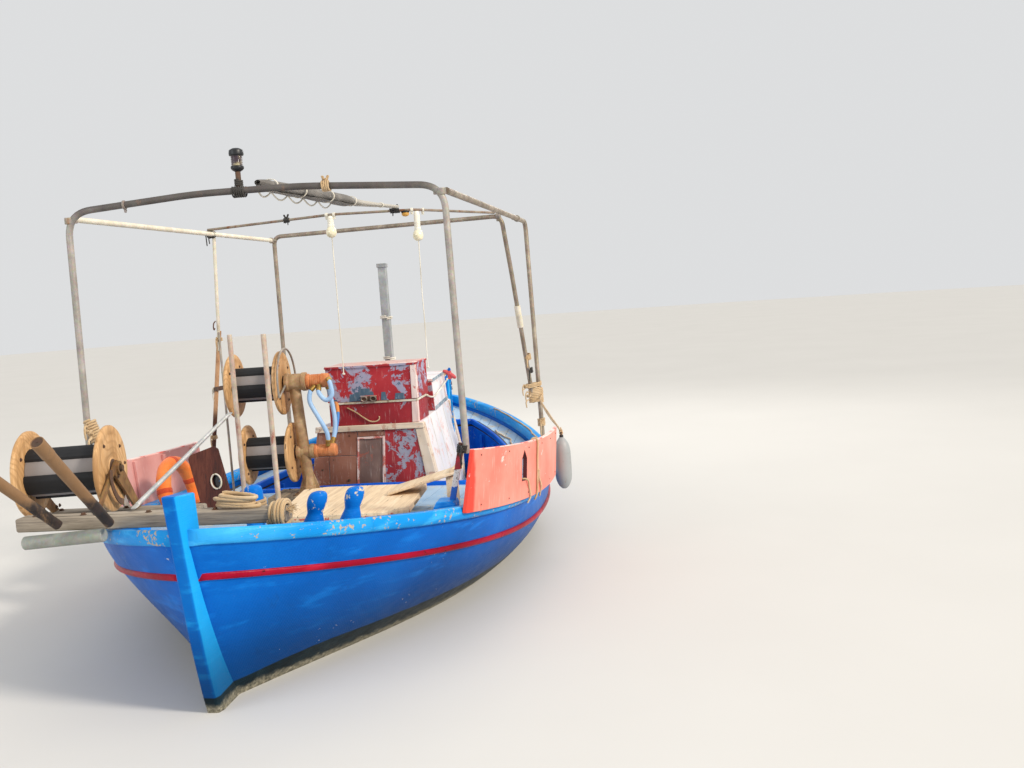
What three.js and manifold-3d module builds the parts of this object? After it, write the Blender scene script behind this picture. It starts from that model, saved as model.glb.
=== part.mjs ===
// Small wooden net boat, pointed at both ends, with a pipe awning frame, a bow roller and a twin net hauler.
// Millimetres. +X forward, +Y to port, +Z up. The origin is on the centreline amidships, at the waterline.
import * as THREE from 'three';
import Module from 'manifold-3d';
import { mergeVertices } from 'three/addons/utils/BufferGeometryUtils.js';

const wasm = await Module();
wasm.setup();

// Driving dimensions
const gap = 0.3;
const hull = {
  half: 1262, midX: 45, foreTop: 2808, aftTop: -3060, forefoot: 1950, heel: -2790,
  sheerLow: 482, sheerBow: 826, sheerStern: 747, sheerLowX: -400, keelLine: -420, sternRise: 370,
  wall: 36, rimDrop: 35,
};
const rail = { width: 92, depth: 70 };
const deck = { drop: 72, thickness: 32 };
const well = { fore: -150, aft: -2380, sideDeck: 275, lining: 22, sole: 60, soleThickness: 28 };
const keel = {
  bottom: -545, thickness: 72, heelHeight: 62, aft: -2860, shaftZ: -300,
  apertureFore: -2560, apertureAft: -2752,
};
const pipeRadius = 20;
const frameTop = 2330;
const rollerRadius = 212;
const axleRadius = 15;
const boreRadius = 21;

// Colours of the pieces: name, colour, roughness, metalness
const finishes = {
  hullBlue: [0x1a6fc9, 0.55, 0], railBlue: [0x4aa3e6, 0.5, 0], bottomBlack: [0x15181c, 0.8, 0],
  strakeRed: [0xb8202b, 0.5, 0], boardRed: [0xe0594f, 0.7, 0], boxRed: [0xb52a26, 0.75, 0],
  casing: [0x9fa9b8, 0.8, 0], timber: [0x8b8378, 0.85, 0], disc: [0xb98c58, 0.75, 0],
  rubber: [0x1d1f22, 0.85, 0], ochre: [0xb48a3c, 0.6, 0.2], motor: [0xd97a2f, 0.6, 0.1],
  galvanized: [0xa7a69f, 0.5, 0.7], rust: [0x7a4a2e, 0.85, 0.3], canvas: [0x9a978f, 0.95, 0],
  hose: [0x86b3dc, 0.5, 0], cord: [0xe6e2d8, 0.8, 0], glass: [0xe9d98a, 0.3, 0],
  orange: [0xff6a2a, 0.6, 0], brass: [0xb08a4a, 0.35, 0.9], engine: [0x4a4f55, 0.7, 0.4],
  blackPlastic: [0x111214, 0.5, 0], deckGrey: [0x7fa3c4, 0.75, 0], fender: [0xb9c0c4, 0.5, 0],
};

const boat = new THREE.Group();
const clamp = (value, low, high) => Math.min(high, Math.max(low, value));
const vec = (x, y, z) => new THREE.Vector3(x, y, z);

// Solids and booleans
function toSolid(geometry) {
  const bare = geometry.clone();
  bare.deleteAttribute('normal');
  bare.deleteAttribute('uv');
  const merged = mergeVertices(bare, 1e-3);
  return new wasm.Manifold(new wasm.Mesh({
    numProp: 3,
    vertProperties: new Float32Array(merged.attributes.position.array),
    triVerts: new Uint32Array(merged.index.array),
  }));
}

function toGeometry(solid) {
  const mesh = solid.getMesh();
  const geometry = new THREE.BufferGeometry();
  const places = new Float32Array(mesh.numVert * 3);
  for (let i = 0; i < mesh.numVert; i += 1) {
    for (let k = 0; k < 3; k += 1) places[3 * i + k] = mesh.vertProperties[mesh.numProp * i + k];
  }
  geometry.setAttribute('position', new THREE.BufferAttribute(places, 3));
  geometry.setIndex(new THREE.BufferAttribute(new Uint32Array(mesh.triVerts), 1));
  return geometry;
}

const joined = (...geometries) => toGeometry(geometries.map(toSolid).reduce((a, b) => a.add(b)));
const cut = (geometry, ...tools) => toGeometry(
  tools.map(toSolid).reduce((a, b) => a.subtract(b), toSolid(geometry)));

function add(name, finish, geometry) {
  const [color, roughness, metalness] = finishes[finish];
  const mesh = new THREE.Mesh(geometry, new THREE.MeshStandardMaterial({ color, roughness, metalness }));
  mesh.name = name;
  boat.add(mesh);
  return mesh;
}

// Shapes
function box(x0, x1, y0, y1, z0, z1) {
  const block = new THREE.BoxGeometry(x1 - x0, y1 - y0, z1 - z0);
  return block.translate((x0 + x1) / 2, (y0 + y1) / 2, (z0 + z1) / 2);
}

// A flat outline of [x, z] points, set upright along the boat and spread over the width y0..y1
function uprightPlate(points, y0, y1) {
  const shape = new THREE.Shape(points.map(([x, z]) => new THREE.Vector2(x, z)));
  const plate = new THREE.ExtrudeGeometry(shape, { depth: y1 - y0, bevelEnabled: false });
  return plate.rotateX(Math.PI / 2).translate(0, y1, 0);
}

// A flat outline of [x, y] points, raised from z0 to z1
function flatPlate(points, z0, z1) {
  const shape = new THREE.Shape(points.map(([x, y]) => new THREE.Vector2(x, y)));
  return new THREE.ExtrudeGeometry(shape, { depth: z1 - z0, bevelEnabled: false }).translate(0, 0, z0);
}

// A closed solid through rings of equal count, each end closed by rungs between its two sides
function loft(rings) {
  const count = rings[0].length;
  const places = rings.flat().flatMap((p) => [p.x, p.y, p.z]);
  const index = [];
  for (let i = 0; i + 1 < rings.length; i += 1) {
    for (let j = 0; j < count; j += 1) {
      const a = i * count + j;
      const b = i * count + ((j + 1) % count);
      index.push(a, b, a + count, b, b + count, a + count);
    }
  }
  const last = (rings.length - 1) * count;
  for (let j = 0; j < count - 2 - j; j += 1) {
    const k = count - 1 - j;
    index.push(j, k, j + 1, last + j, last + j + 1, last + k);
    if (j + 1 < k - 1) index.push(j + 1, k, k - 1, last + j + 1, last + k - 1, last + k);
  }
  const geometry = new THREE.BufferGeometry();
  geometry.setAttribute('position', new THREE.BufferAttribute(new Float32Array(places), 3));
  geometry.setIndex(index);
  return geometry;
}

// A path through points whose corners are rounded; its samples are the stations of a swept section
class BentPath extends THREE.Curve {
  constructor(points, bend = 0, cornerSteps = 4) {
    super();
    this.samples = [points[0]];
    for (let i = 1; i + 1 < points.length; i += 1) {
      const before = points[i - 1].clone().sub(points[i]);
      const after = points[i + 1].clone().sub(points[i]);
      const reach = Math.min(bend, before.length() * 0.45, after.length() * 0.45);
      const start = points[i].clone().add(before.setLength(reach));
      const end = points[i].clone().add(after.setLength(reach));
      const corner = new THREE.QuadraticBezierCurve3(start, points[i], end);
      if (reach < 1) this.samples.push(points[i]);
      else this.samples.push(...corner.getPoints(cornerSteps));
    }
    this.samples.push(points.at(-1));
    this.steps = this.samples.length - 1;
  }

  getPointAt(u, target = new THREE.Vector3()) {
    return target.copy(this.samples[Math.round(u * this.steps)]);
  }

  getTangentAt(u, target = new THREE.Vector3()) {
    const i = Math.round(u * this.steps);
    const before = this.samples[Math.max(i - 1, 0)];
    const after = this.samples[Math.min(i + 1, this.steps)];
    return target.copy(after).sub(before).normalize();
  }
}

function polygon(radius, sides) {
  const shape = new THREE.Shape();
  for (let i = 0; i < sides; i += 1) {
    const a = (i + 0.5) / sides * 2 * Math.PI;
    if (i) shape.lineTo(radius * Math.cos(a), radius * Math.sin(a));
    else shape.moveTo(radius * Math.cos(a), radius * Math.sin(a));
  }
  return shape;
}

function pipe(points, radius, { bend = 0, sides = 8, cornerSteps = 4 } = {}) {
  const path = new BentPath(points.map((p) => vec(...p)), bend, cornerSteps);
  return new THREE.ExtrudeGeometry(polygon(radius, sides), {
    steps: path.steps, extrudePath: path, bevelEnabled: false,
  });
}

// A smooth cord through points chosen by hand
function cord(points, radius, steps) {
  const curve = new THREE.CatmullRomCurve3(points.map((p) => vec(...p)));
  return new THREE.ExtrudeGeometry(polygon(radius, 8), { steps, extrudePath: curve, bevelEnabled: false });
}

// A turned piece: profile of [radius, along] points, standing along one axis from a place
function turned(profile, place, axis = 'z', sides = 20) {
  const lathe = new THREE.LatheGeometry(profile.map(([r, h]) => new THREE.Vector2(r, h)), sides);
  if (axis === 'z') lathe.rotateX(Math.PI / 2);
  if (axis === 'x') lathe.rotateZ(-Math.PI / 2);
  return lathe.translate(...place);
}

function rod(radius, length, place, axis, sides) {
  return turned([[0, 0], [radius, 0], [radius, length], [0, length]], place, axis, sides);
}

// A straight flat bar between two places, with half widths along the boat and across it
function bar(low, high, halfX, halfY) {
  return loft([low, high].map(([x, y, z]) => [
    vec(x + halfX, y + halfY, z), vec(x - halfX, y + halfY, z),
    vec(x - halfX, y - halfY, z), vec(x + halfX, y - halfY, z),
  ]));
}

// Turned about an upright line through [x, y], in degrees
function swung(geometry, [x, y], degrees) {
  return geometry.translate(-x, -y, 0).rotateZ(THREE.MathUtils.degToRad(degrees)).translate(x, y, 0);
}

// Hull form: u runs from -1 at the sternpost to 1 at the stem, t from 0 at the keel line to 1 at the sheer
function rabbetX(u, t) {
  const stem = hull.forefoot + (hull.foreTop - hull.forefoot) * t ** 0.42;
  const stern = hull.heel + (hull.aftTop - hull.heel) * t;
  return hull.midX + Math.abs(u) * ((u > 0 ? stem : stern) - hull.midX);
}

function sheerHeight(x) {
  const ahead = clamp((x - hull.sheerLowX) / (2780 - hull.sheerLowX), 0, 1);
  const astern = clamp((hull.sheerLowX - x) / (3090 + hull.sheerLowX), 0, 1);
  return hull.sheerLow + (hull.sheerBow - hull.sheerLow) * ahead ** 1.9
    + (hull.sheerStern - hull.sheerLow) * astern ** 1.9;
}

const keelHeight = (u) => hull.keelLine + hull.sternRise * clamp((-u - 0.25) / 0.75, 0, 1) ** 2;

function planHalf(u) {
  const [power, root] = u > 0 ? [2.4, 0.749] : [2.24, 0.821];
  return hull.half * Math.max(1 - Math.abs(u) ** power, 0) ** root;
}

// Half breadth at the sheer, by distance along the boat
function halfAt(x) {
  const reach = x > hull.midX ? hull.foreTop - hull.midX : hull.midX - hull.aftTop;
  return planHalf((x - hull.midX) / reach);
}

function hullPoint(u, t, side, grow = 0) {
  const x = rabbetX(u, t);
  const top = sheerHeight(rabbetX(u, 1)) - hull.rimDrop;
  const low = keelHeight(u);
  const fullness = 2.3 - 1.4 * Math.abs(u) ** 1.6;
  const spread = Math.max(1 - Math.max(1 - t, 0) ** fullness, 0) ** (1 + 0.2 * Math.abs(u) ** 3);
  const y = Math.max(planHalf(u) * spread + grow, 1);
  return vec(x, side * y, low + (top - low) * t);
}

const spacing = (count, low, high, ease = 1) => Array.from({ length: count }, (_, i) => {
  const s = (2 * i) / (count - 1) - 1;
  return low + (high - low) * (Math.sign(s) * (1 - (1 - Math.abs(s)) ** ease) + 1) / 2;
});

function hullSolid(grow = 0, { reach = 0.994, lowest = 0, highest = 1, stations = 21, levels = 8 } = {}) {
  const heights = spacing(levels, lowest, highest, 1.15);
  return loft(spacing(stations, -reach, reach, 1.35).map((u) => [
    ...heights.map((t) => hullPoint(u, t, 1, grow)).reverse(),
    ...heights.map((t) => hullPoint(u, t, -1, grow)),
  ].reverse()));
}

const hullOutside = joined(...[[-2, -1], [-2, 1], [2, -1], [2, 1]].map(([ahead, up]) => (
  hullSolid(gap).translate(ahead * gap, 0, up * gap))));
const insideRange = { reach: 0.93, lowest: 0.13, highest: 1.6, stations: 17, levels: 8 };
const hullInside = hullSolid(-hull.wall, insideRange);
const hullSpace = [-2, 2].map((ahead) => (
  toSolid(hullSolid(-hull.wall - gap, insideRange)).translate(ahead * gap, 0, gap)
)).reduce((a, b) => a.intersect(b));
const insideHull = (geometry) => toGeometry(toSolid(geometry).intersect(hullSpace));

// Edge of the boat in plan at sheer height, measured inwards
function sheerPoint(u, side, inset = 0, lift = 0) {
  const x = rabbetX(u, 1);
  return vec(x, side * Math.max(planHalf(u) - inset, 1), sheerHeight(x) + lift);
}

function sheerSweep(side, section, uLow, uHigh, stations = 23) {
  const rings = spacing(stations, uLow, uHigh, 1.35).map((u) => (
    section.map(([inset, lift]) => sheerPoint(u, side, inset, lift))));
  return side > 0 ? loft(rings.map((ring) => ring.toReversed())) : loft(rings);
}

// Half-round red strake a hand below the rail, as a solid that stands into the planking
function strake(side) {
  const belowRim = 150;
  const section = [[-16, -17], [9, -15], [19, -6], [19, 6], [9, 15], [-16, 17]];
  const rings = spacing(23, -0.985, 0.993, 1.35).map((u) => {
    const height = sheerHeight(rabbetX(u, 1)) - hull.rimDrop - keelHeight(u);
    const p = hullPoint(u, 1 - belowRim / height, side);
    return section.map(([out, up]) => vec(p.x, p.y + side * out, p.z + up));
  });
  return loft(side > 0 ? rings : rings.map((ring) => ring.toReversed()));
}

function buildHull() {
  const strakes = [1, -1].map((side) => cut(strake(side), stemHead, sternHead));
  add('hull_shell', 'hullBlue', cut(joined(hullSolid(), ...strakes), hullInside));
  const scarf = 1700;
  const stem = uprightPlate([
    [scarf, -430], [scarf, keel.bottom], [1990, keel.bottom], [2230, -470], [2440, -310], [2590, -130],
    [2655, 10], [2735, 300], [2800, 620], [2868, 1020], [2690, 1000], [2680, 700], [2560, 500], [2350, 0],
  ], -posts.stemHalf, posts.stemHalf);
  add('stem_post', 'hullBlue', cut(stem, hullOutside));
  const heelTop = keel.bottom + keel.heelHeight;
  const stern = uprightPlate([
    [-2760, heelTop], [keel.aft, heelTop], [-2930, 0], [-3020, 450], [-3120, 955],
    [-2975, 955], [-2900, 640], [-2700, 300], [-2600, 0], [-2700, -70], [keel.apertureAft, -110],
  ], -posts.sternHalf, posts.sternHalf);
  add('stern_post', 'hullBlue', cut(stern, hullOutside));
  const half = keel.thickness / 2;
  const timber = uprightPlate([
    [scarf - gap, keel.bottom], [keel.aft, keel.bottom], [keel.aft, heelTop - gap],
    [keel.apertureFore, heelTop - gap], [keel.apertureFore, -150], [-2470, 60], [0, -350], [scarf - gap, -350],
  ], -half, half);
  const shaftBore = rod(23, 120, [keel.apertureFore - 10, 0, keel.shaftZ], 'x', 16);
  add('keel', 'bottomBlack', cut(timber, hullOutside, shaftBore));
  const round = [[52, 35], [-18, 35], [-32, 22], [-38, 0], [-32, -24], [-12, -34.6], [52, -34.6]];
  for (const [name, side] of [['port', 1], ['stbd', -1]]) {
    const sweep = sheerSweep(side, round, -0.992, 0.996);
    add(`rail_${name}`, 'railBlue', cut(sweep, hullOutside, stemHead, sternHead));
  }
}

const posts = { stemHalf: 38, sternHalf: 40 };
const postSpace = (x0, x1, half) => box(x0, x1, -half - gap, half + gap, -600, 1100);
const stemHead = postSpace(2560, 3000, posts.stemHalf);
const sternHead = postSpace(-3300, -2780, posts.sternHalf);

// Outline of the open well in plan, grown or shrunk by a margin
function wellOutline(margin) {
  const stations = spacing(13, well.fore + margin, well.aft - margin);
  const sides = stations.map((x) => [x, halfAt(x) - well.sideDeck + margin]);
  return [...sides, ...sides.map(([x, y]) => [x, -y]).reverse()];
}

// Rings across the boat at deck height: the underside sinks by a drop, the upper side rises by a lift
function deckRings(sink, lift) {
  const crown = 18;
  return spacing(19, -0.93, 0.93, 1.2).map((u) => {
    const edge = planHalf(u);
    const x = rabbetX(u, 1);
    const z = sheerHeight(x) - deck.drop;
    const low = z - deck.thickness - sink;
    return [
      vec(x, edge, low), vec(x, edge, z + lift), vec(x, 0, z + crown + lift), vec(x, -edge, z + lift),
      vec(x, -edge, low), vec(x, 0, low + crown),
    ];
  });
}

function buildDecks() {
  const stemBlock = box(2540, 3000, -39, 39, 0, 1100);
  const opening = flatPlate(wellOutline(0), 0, 900);
  add('deck', 'deckGrey', cut(insideHull(loft(deckRings(0, 0))), opening, stemBlock));
  const wall = cut(flatPlate(wellOutline(well.lining), 0, 900), flatPlate(wellOutline(0), -10, 910));
  const floorSpace = box(-3200, 3200, -1400, 1400, -100, well.sole + well.soleThickness + gap);
  add('well_lining', 'hullBlue', insideHull(cut(wall, loft(deckRings(gap, 900)), floorSpace)));
  const sole = box(-2500, 60, -1300, 1300, well.sole, well.sole + well.soleThickness);
  add('well_sole', 'deckGrey', insideHull(sole));
}

const deckSpace = loft(deckRings(900, gap));
const onDeck = (geometry) => cut(geometry, deckSpace);
const railTop = (x) => sheerHeight(x) + rail.depth / 2 + 2;

// Bow gear: beams laid across the stem, the roller hung outboard to starboard, and two slanting guide poles
const bowRoller = { x: 2200, z: 1035, middle: -825, swing: 10.5, inner: -635, outer: -1015 };
const beams = { foreX: 2420, aftX: 1870, width: 92, foreTop: 875, aftTop: 785 };
const swungWithRoller = (geometry) => swung(geometry, [bowRoller.x, bowRoller.middle], bowRoller.swing);

function buildBow() {
  const { foreX, aftX, width, foreTop, aftTop } = beams;
  add('bow_beam_fore', 'timber', box(foreX, foreX + width, -935, 360, railTop(foreX + width), foreTop));
  add('bow_beam_aft', 'timber', box(aftX, aftX + width, -1145, -300, railTop(aftX + width), aftTop));
  const pipeZ = railTop(foreX + width) - 28 - gap;
  add('beam_pipe', 'galvanized', rod(28, 395, [foreX + 112, -880, pipeZ], 'y', 12));
  const leg = uprightPlate([
    [foreX + 70, foreTop + gap], [foreX + 125, foreTop + gap],
    [bowRoller.x + 45, bowRoller.z + 22], [bowRoller.x, bowRoller.z + 15],
  ], -611, -599);
  add('roller_bracket_in', 'rust', rollerBracket(-599, 43, [leg]));
  add('roller_bracket_out', 'rust', rollerBracket(-1049, -40, []));
  // Guide poles: x, y, z and radius at the foot and at the head
  add('guide_pole_a', 'rust', taperTube([[2562, -690, 850, 23], [3000, -850, 1290, 29]]));
  add('guide_pole_b', 'rust', taperTube([[2562, -443, 850, 23], [3010, -452, 1292, 29]]));
  add('brace_bar', 'galvanized', pipe([[foreX + 40, -380, foreTop + 16], [925, -540, 1142]], 12, { sides: 6 }));
}

// A plate arm from the aft beam to the axle, with a bush; its foot is shifted along the boat to meet the beam
function rollerBracket(plateY, footShift, extras) {
  const footX = beams.aftX + footShift;
  const { x, z } = bowRoller;
  const footZ = beams.aftTop + gap;
  const arm = uprightPlate([
    [footX + 5, footZ], [footX + 80, footZ], [x + 45, z - 30], [x + 10, z + 42], [x - 40, z + 25],
  ], plateY - 12, plateY);
  const bush = rod(34, 30, [x, plateY - 18, z], 'y', 16);
  const bore = rod(boreRadius, 400, [x, plateY - 200, z], 'y', 16);
  return swungWithRoller(cut(joined(arm, bush, ...extras), bore));
}

// A round bar of changing radius through [x, y, z, radius] places
function taperTube(stations, sides = 10) {
  const centre = stations.map(([x, y, z]) => vec(x, y, z));
  const along = centre.at(-1).clone().sub(centre[0]).normalize();
  const across = vec(0, 1, 0).addScaledVector(along, -along.y).normalize();
  const up = along.clone().cross(across);
  const rings = stations.map(([, , , radius], i) => Array.from({ length: sides }, (_, j) => {
    const a = (2 * Math.PI * (j + 0.5)) / sides;
    const out = across.clone().multiplyScalar(radius * Math.cos(a));
    return centre[i].clone().add(out).addScaledVector(up, radius * Math.sin(a));
  }));
  return loft(rings);
}

// A drum: two round wooden flanges on one axle, and a ribbed core between them
function buildDrum(name, swing, { x, z, inner, outer, radius, coreRadius, axleIn, axleOut }) {
  const thickness = 22;
  const axle = rod(axleRadius, axleIn - axleOut, [x, axleOut, z], 'y', 12);
  const flange = (y) => rod(radius, thickness, [x, y, z], 'y', 28);
  const flanges = [inner, outer].map((middle) => flange(middle - thickness / 2));
  add(`${name}_flanges`, 'disc', swing(joined(axle, ...flanges)));
  const ribs = 4;
  const outline = Array.from({ length: ribs * 6 }, (_, i) => {
    const a = (2 * Math.PI * i) / (ribs * 6);
    const r = i % 6 < 4 ? coreRadius : coreRadius * 0.82;
    return new THREE.Vector2(x + r * Math.cos(a), -z + r * Math.sin(a));
  });
  const start = outer + thickness / 2 + gap;
  const length = inner - outer - thickness - 2 * gap;
  const body = new THREE.ExtrudeGeometry(new THREE.Shape(outline), { depth: length, bevelEnabled: false });
  body.rotateX(-Math.PI / 2).translate(0, start, 0);
  const bore = rod(axleRadius + gap, length + 40, [x, start - 20, z], 'y', 12);
  add(`${name}_core`, 'rubber', swing(cut(body, bore)));
}

// Net hauler: a leaning column with two housings, each driving a drum on its starboard side
const hauler = {
  x: 300, footY: -305, headY: -352, padTop: 505, upperZ: 1255, lowerZ: 785, pivotY: -345, swing: 5,
  upper: { inner: -432, outer: -750, radius: 212, housing: [62, -416, -265], motor: [50, -265, -112] },
  lower: { inner: -395, outer: -700, radius: 200, housing: [50, -379, -250], motor: [46, -250, -102] },
};

const swungWithHauler = (geometry) => swung(geometry, [hauler.x, hauler.pivotY], hauler.swing);

function buildHauler() {
  const { x, footY, headY, padTop, upperZ, lowerZ, upper, lower } = hauler;
  add('hauler_pad', 'timber', onDeck(box(130, 430, -560, -210, 380, padTop)));
  const base = box(x - 90, x + 90, footY - 80, footY + 80, padTop + gap, padTop + 12);
  const column = pipe([[x, footY, padTop + 6], [x, headY, upperZ]], 38, { sides: 14 });
  const gussetOutline = [[x - 85, padTop + 8], [x + 85, padTop + 8], [x, padTop + 130]];
  const gusset = uprightPlate(gussetOutline, footY - 5, footY + 5);
  const parts = [base, column, gusset];
  const bores = [];
  for (const [z, drum] of [[upperZ, upper], [lowerZ, lower]]) {
    const [radius, y0, y1] = drum.housing;
    parts.push(swungWithHauler(rod(radius, y1 - y0, [x, y0, z], 'y', 20)));
    bores.push(swungWithHauler(rod(boreRadius, 70, [x, y0 - 10, z], 'y', 16)));
  }
  const hoopRadius = upper.radius + 16;
  const hoopY = -398;
  const hoop = [[x + 55, hoopY, upperZ - 15]];
  for (let i = 0; i <= 16; i += 1) {
    const a = THREE.MathUtils.degToRad(-20 + (220 * i) / 16);
    hoop.push([x + hoopRadius * Math.cos(a), hoopY, upperZ + hoopRadius * Math.sin(a)]);
  }
  hoop.push([x - 55, hoopY, upperZ - 15]);
  parts.push(swungWithHauler(pipe(hoop, 7, { sides: 6 })));
  add('hauler_column', 'ochre', cut(joined(...parts), ...bores));
  for (const [name, z, drum] of [['upper', upperZ, upper], ['lower', lowerZ, lower]]) {
    const [radius, y0, y1] = drum.motor;
    const motor = rod(radius, y1 - y0 - gap, [x, y0 + gap, z], 'y', 16);
    add(`${name}_motor`, 'motor', swungWithHauler(motor));
    const axle = { axleIn: drum.housing[1] + 50, axleOut: drum.outer - 45 };
    buildDrum(`${name}_drum`, swungWithHauler, { x, z, coreRadius: 118, ...axle, ...drum });
  }
}

// Engine casing in the well, with the gear box standing on its fore end
const casing = {
  fore: -240, aft: -1740, middle: -17, halfFore: 388, halfAft: 300, low: 473, top: 872, kneeZ: 430, wall: 20,
  tallFore: -905, tallTop: 1120, tallHalfFore: 335, tallHalfAft: 275,
};
const gearBox = { fore: -250, aft: -620, stbd: -304, port: 342, seamZ: 1043, top: 1302, wall: 16 };

// A tapering case with no floor: outline half widths fore and aft, at each height
function caseShell(levels, wall) {
  const ring = ([z, fore, aft, halfFore, halfAft], inset) => [
    vec(fore - inset, halfFore - inset, z), vec(aft + inset, halfAft - inset, z),
    vec(aft + inset, -halfAft + inset, z), vec(fore - inset, -halfFore + inset, z),
  ];
  const outside = loft(levels.map((level) => ring(level, 0)));
  const sink = levels.map((level, i) => (i === 0 || i === levels.length - 1 ? wall : 0));
  const inside = levels.map(([z, ...rest], i) => ring([z - sink[i], ...rest], wall));
  return cut(outside, loft(inside));
}

function buildCasings() {
  const floor = well.sole + well.soleThickness + gap;
  const { fore, aft, halfFore, halfAft, low, top, kneeZ, wall } = casing;
  // Levels: height, fore end, aft end, half width fore, half width aft
  add('casing_low', 'casing', caseShell([
    [floor, fore, aft, low, halfAft + 90],
    [kneeZ, fore, aft, low, halfAft + 80],
    [top, fore - 12, aft + 10, halfFore, halfAft],
  ], wall).translate(0, casing.middle, 0));
  add('casing_tall', 'casing', caseShell([
    [top + gap, casing.tallFore, aft + 40, casing.tallHalfFore, casing.tallHalfAft],
    [casing.tallTop, casing.tallFore - 10, aft + 55, casing.tallHalfFore - 15, casing.tallHalfAft - 15],
  ], 18));
  add('engine_block', 'engine', box(-1450, -850, -210, 210, floor, 690));
  const { stbd, port, seamZ, wall: side } = gearBox;
  const body = box(gearBox.aft, gearBox.fore, stbd, port, top + gap, seamZ);
  const room = box(gearBox.aft + side, gearBox.fore - side, stbd + side, port - side, top + side, seamZ + 10);
  add('box_base', 'boxRed', cut(body, room));
  const lidTop = gearBox.top;
  const lid = box(gearBox.aft - 4, gearBox.fore + 6, stbd - 6, port + 6, seamZ + 2, lidTop);
  const cap = box(gearBox.aft - 10, gearBox.fore + 14, stbd - 12, port + 12, lidTop - 14, lidTop);
  const latch = box(gearBox.fore + 4, gearBox.fore + 20, -60, 60, seamZ + 4, seamZ + 40);
  const ends = [gearBox.aft + side, gearBox.fore - side];
  const hollow = box(...ends, stbd + side, port - side, seamZ - 5, lidTop - side);
  add('box_lid', 'boxRed', cut(joined(lid, cap, latch), hollow));
  add('stack_post', 'galvanized', stackPost());
}

function stackPost() {
  const [x, y, z0, z1] = [-962, -15, casing.tallTop + gap, 2040];
  const shaft = box(x - 30, x + 30, y - 30, y + 30, z0, z1 - 20);
  const foot = box(x - 48, x + 48, y - 48, y + 48, z0, z0 + 12);
  const cap = box(x - 37, x + 37, y - 37, y + 37, z1 - 30, z1);
  return joined(shaft, foot, cap);
}

// Pipe frame for the awning, as its corners stand: the two sides differ a little
const frame = {
  fore: { port: [1553, 1000], stbd: [1685, -1005], footZ: { port: 930, stbd: 1090 } },
  aft: { port: [-915, 952], stbd: [-1244, -975] },
  crown: 48, sideZ: 2300, splay: 20,
};

function archFoot([x, y], side, topZ) {
  const deckZ = sheerHeight(x) - deck.drop;
  const heel = side * (halfAt(x + 60) - 135);
  const strap = bar([x, heel, deckZ + 60], [x, y - side * (pipeRadius + 2), topZ + 130], 22, 6);
  const block = box(x - 60, x + 60, heel - 62, heel + 62, deckZ - 40, deckZ + 110);
  return onDeck(joined(strap, block));
}

function buildFrame() {
  const { fore, aft, crown, sideZ, splay } = frame;
  const [px, py] = fore.port;
  const [sx, sy] = fore.stbd;
  const front = pipe([
    [px + 20, py + splay, fore.footZ.port], [px, py, frameTop], [(px + sx) / 2 - 10, 250, frameTop + crown],
    [(px + sx) / 2 + 30, -300, frameTop + crown], [sx, sy, frameTop], [sx, sy - splay, fore.footZ.stbd],
  ], pipeRadius, { bend: 130, sides: 8, cornerSteps: 5 });
  const feet = [
    archFoot([px + 20, py + splay], 1, fore.footZ.port), archFoot([sx, sy - splay], -1, fore.footZ.stbd),
  ];
  add('front_arch', 'galvanized', joined(front, ...feet));
  add('frame_rail_port', 'galvanized', pipe([
    [px - pipeRadius - gap - 3, py + 8, sideZ], [-1336, 1086, sideZ], [-1255, 1122, railTop(-1300) + 4],
  ], pipeRadius, { bend: 90, cornerSteps: 5 }));
  add('frame_rail_stbd', 'galvanized', pipe([
    [sx - pipeRadius - gap - 3, sy + 10, sideZ], [aft.stbd[0] + pipeRadius + 3, aft.stbd[1] - 5, sideZ],
  ], 18, { sides: 6 }));
  const [bx, by] = aft.port;
  const [tx, ty] = aft.stbd;
  add('back_arch', 'galvanized', onDeck(pipe([
    [bx - 300, by + 118, 860], [bx - 80, by + 40, 1900], [bx, by, frameTop],
    [tx, ty, frameTop], [tx, ty - 10, 380],
  ], 18, { bend: 70, cornerSteps: 5 })));
  const crossPath = [[-70, -1015, 2331], [0, -90, 2362], [-140, 460, 2362], [-925, 900, 2358]];
  const lampHolder = (x, y, top, bottom) => turned([
    [0, bottom], [20, bottom + 6], [32, bottom + 28], [32, bottom + 48], [22, bottom + 75], [21, top], [0, top],
  ], [x, y, 0], 'z', 12);
  const lamps = [lampHolder(-2, -100, 2358, 2208), lampHolder(-148, 470, 2356, 2150)];
  add('mid_cross', 'galvanized', joined(pipe(crossPath, 9, { bend: 40, sides: 6 }), ...lamps));
  add('mid_post', 'galvanized', onDeck(joined(
    pipe([[-100, -987, sideZ - 19], [-96, -1025, 1480]], 13, { sides: 8 }),
    pipe([[-104, -1016, 1620], [-80, -1184, 380]], 16, { sides: 8 }))));
  add('nav_light', 'blackPlastic', turned([
    [0, 0], [14, 0], [14, 78], [36, 82], [38, 104], [30, 108],
    [30, 160], [38, 164], [36, 190], [18, 198], [0, 198],
  ], [1622, -70, frameTop + crown + pipeRadius + 1], 'z', 16));
  add('awning_roll', 'canvas', awningRoll());
}

// Furled awning: a flattened roll lying along the middle, thinning aft
function awningRoll() {
  // Stations: x, y, z, half width, half height
  const stations = [
    [1575, 5, 2420, 46, 36], [1100, 55, 2414, 62, 44], [400, 130, 2412, 66, 46],
    [250, 165, 2404, 34, 26], [-40, 330, 2388, 16, 13], [-90, 375, 2385, 12, 11],
  ];
  return loft(stations.toReversed().map(([x, y, z, wide, tall]) => Array.from({ length: 10 }, (_, i) => {
    const a = (2 * Math.PI * (i + 0.5)) / 10;
    return vec(x, y + wide * Math.cos(a), z + tall * Math.sin(a));
  })));
}

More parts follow.
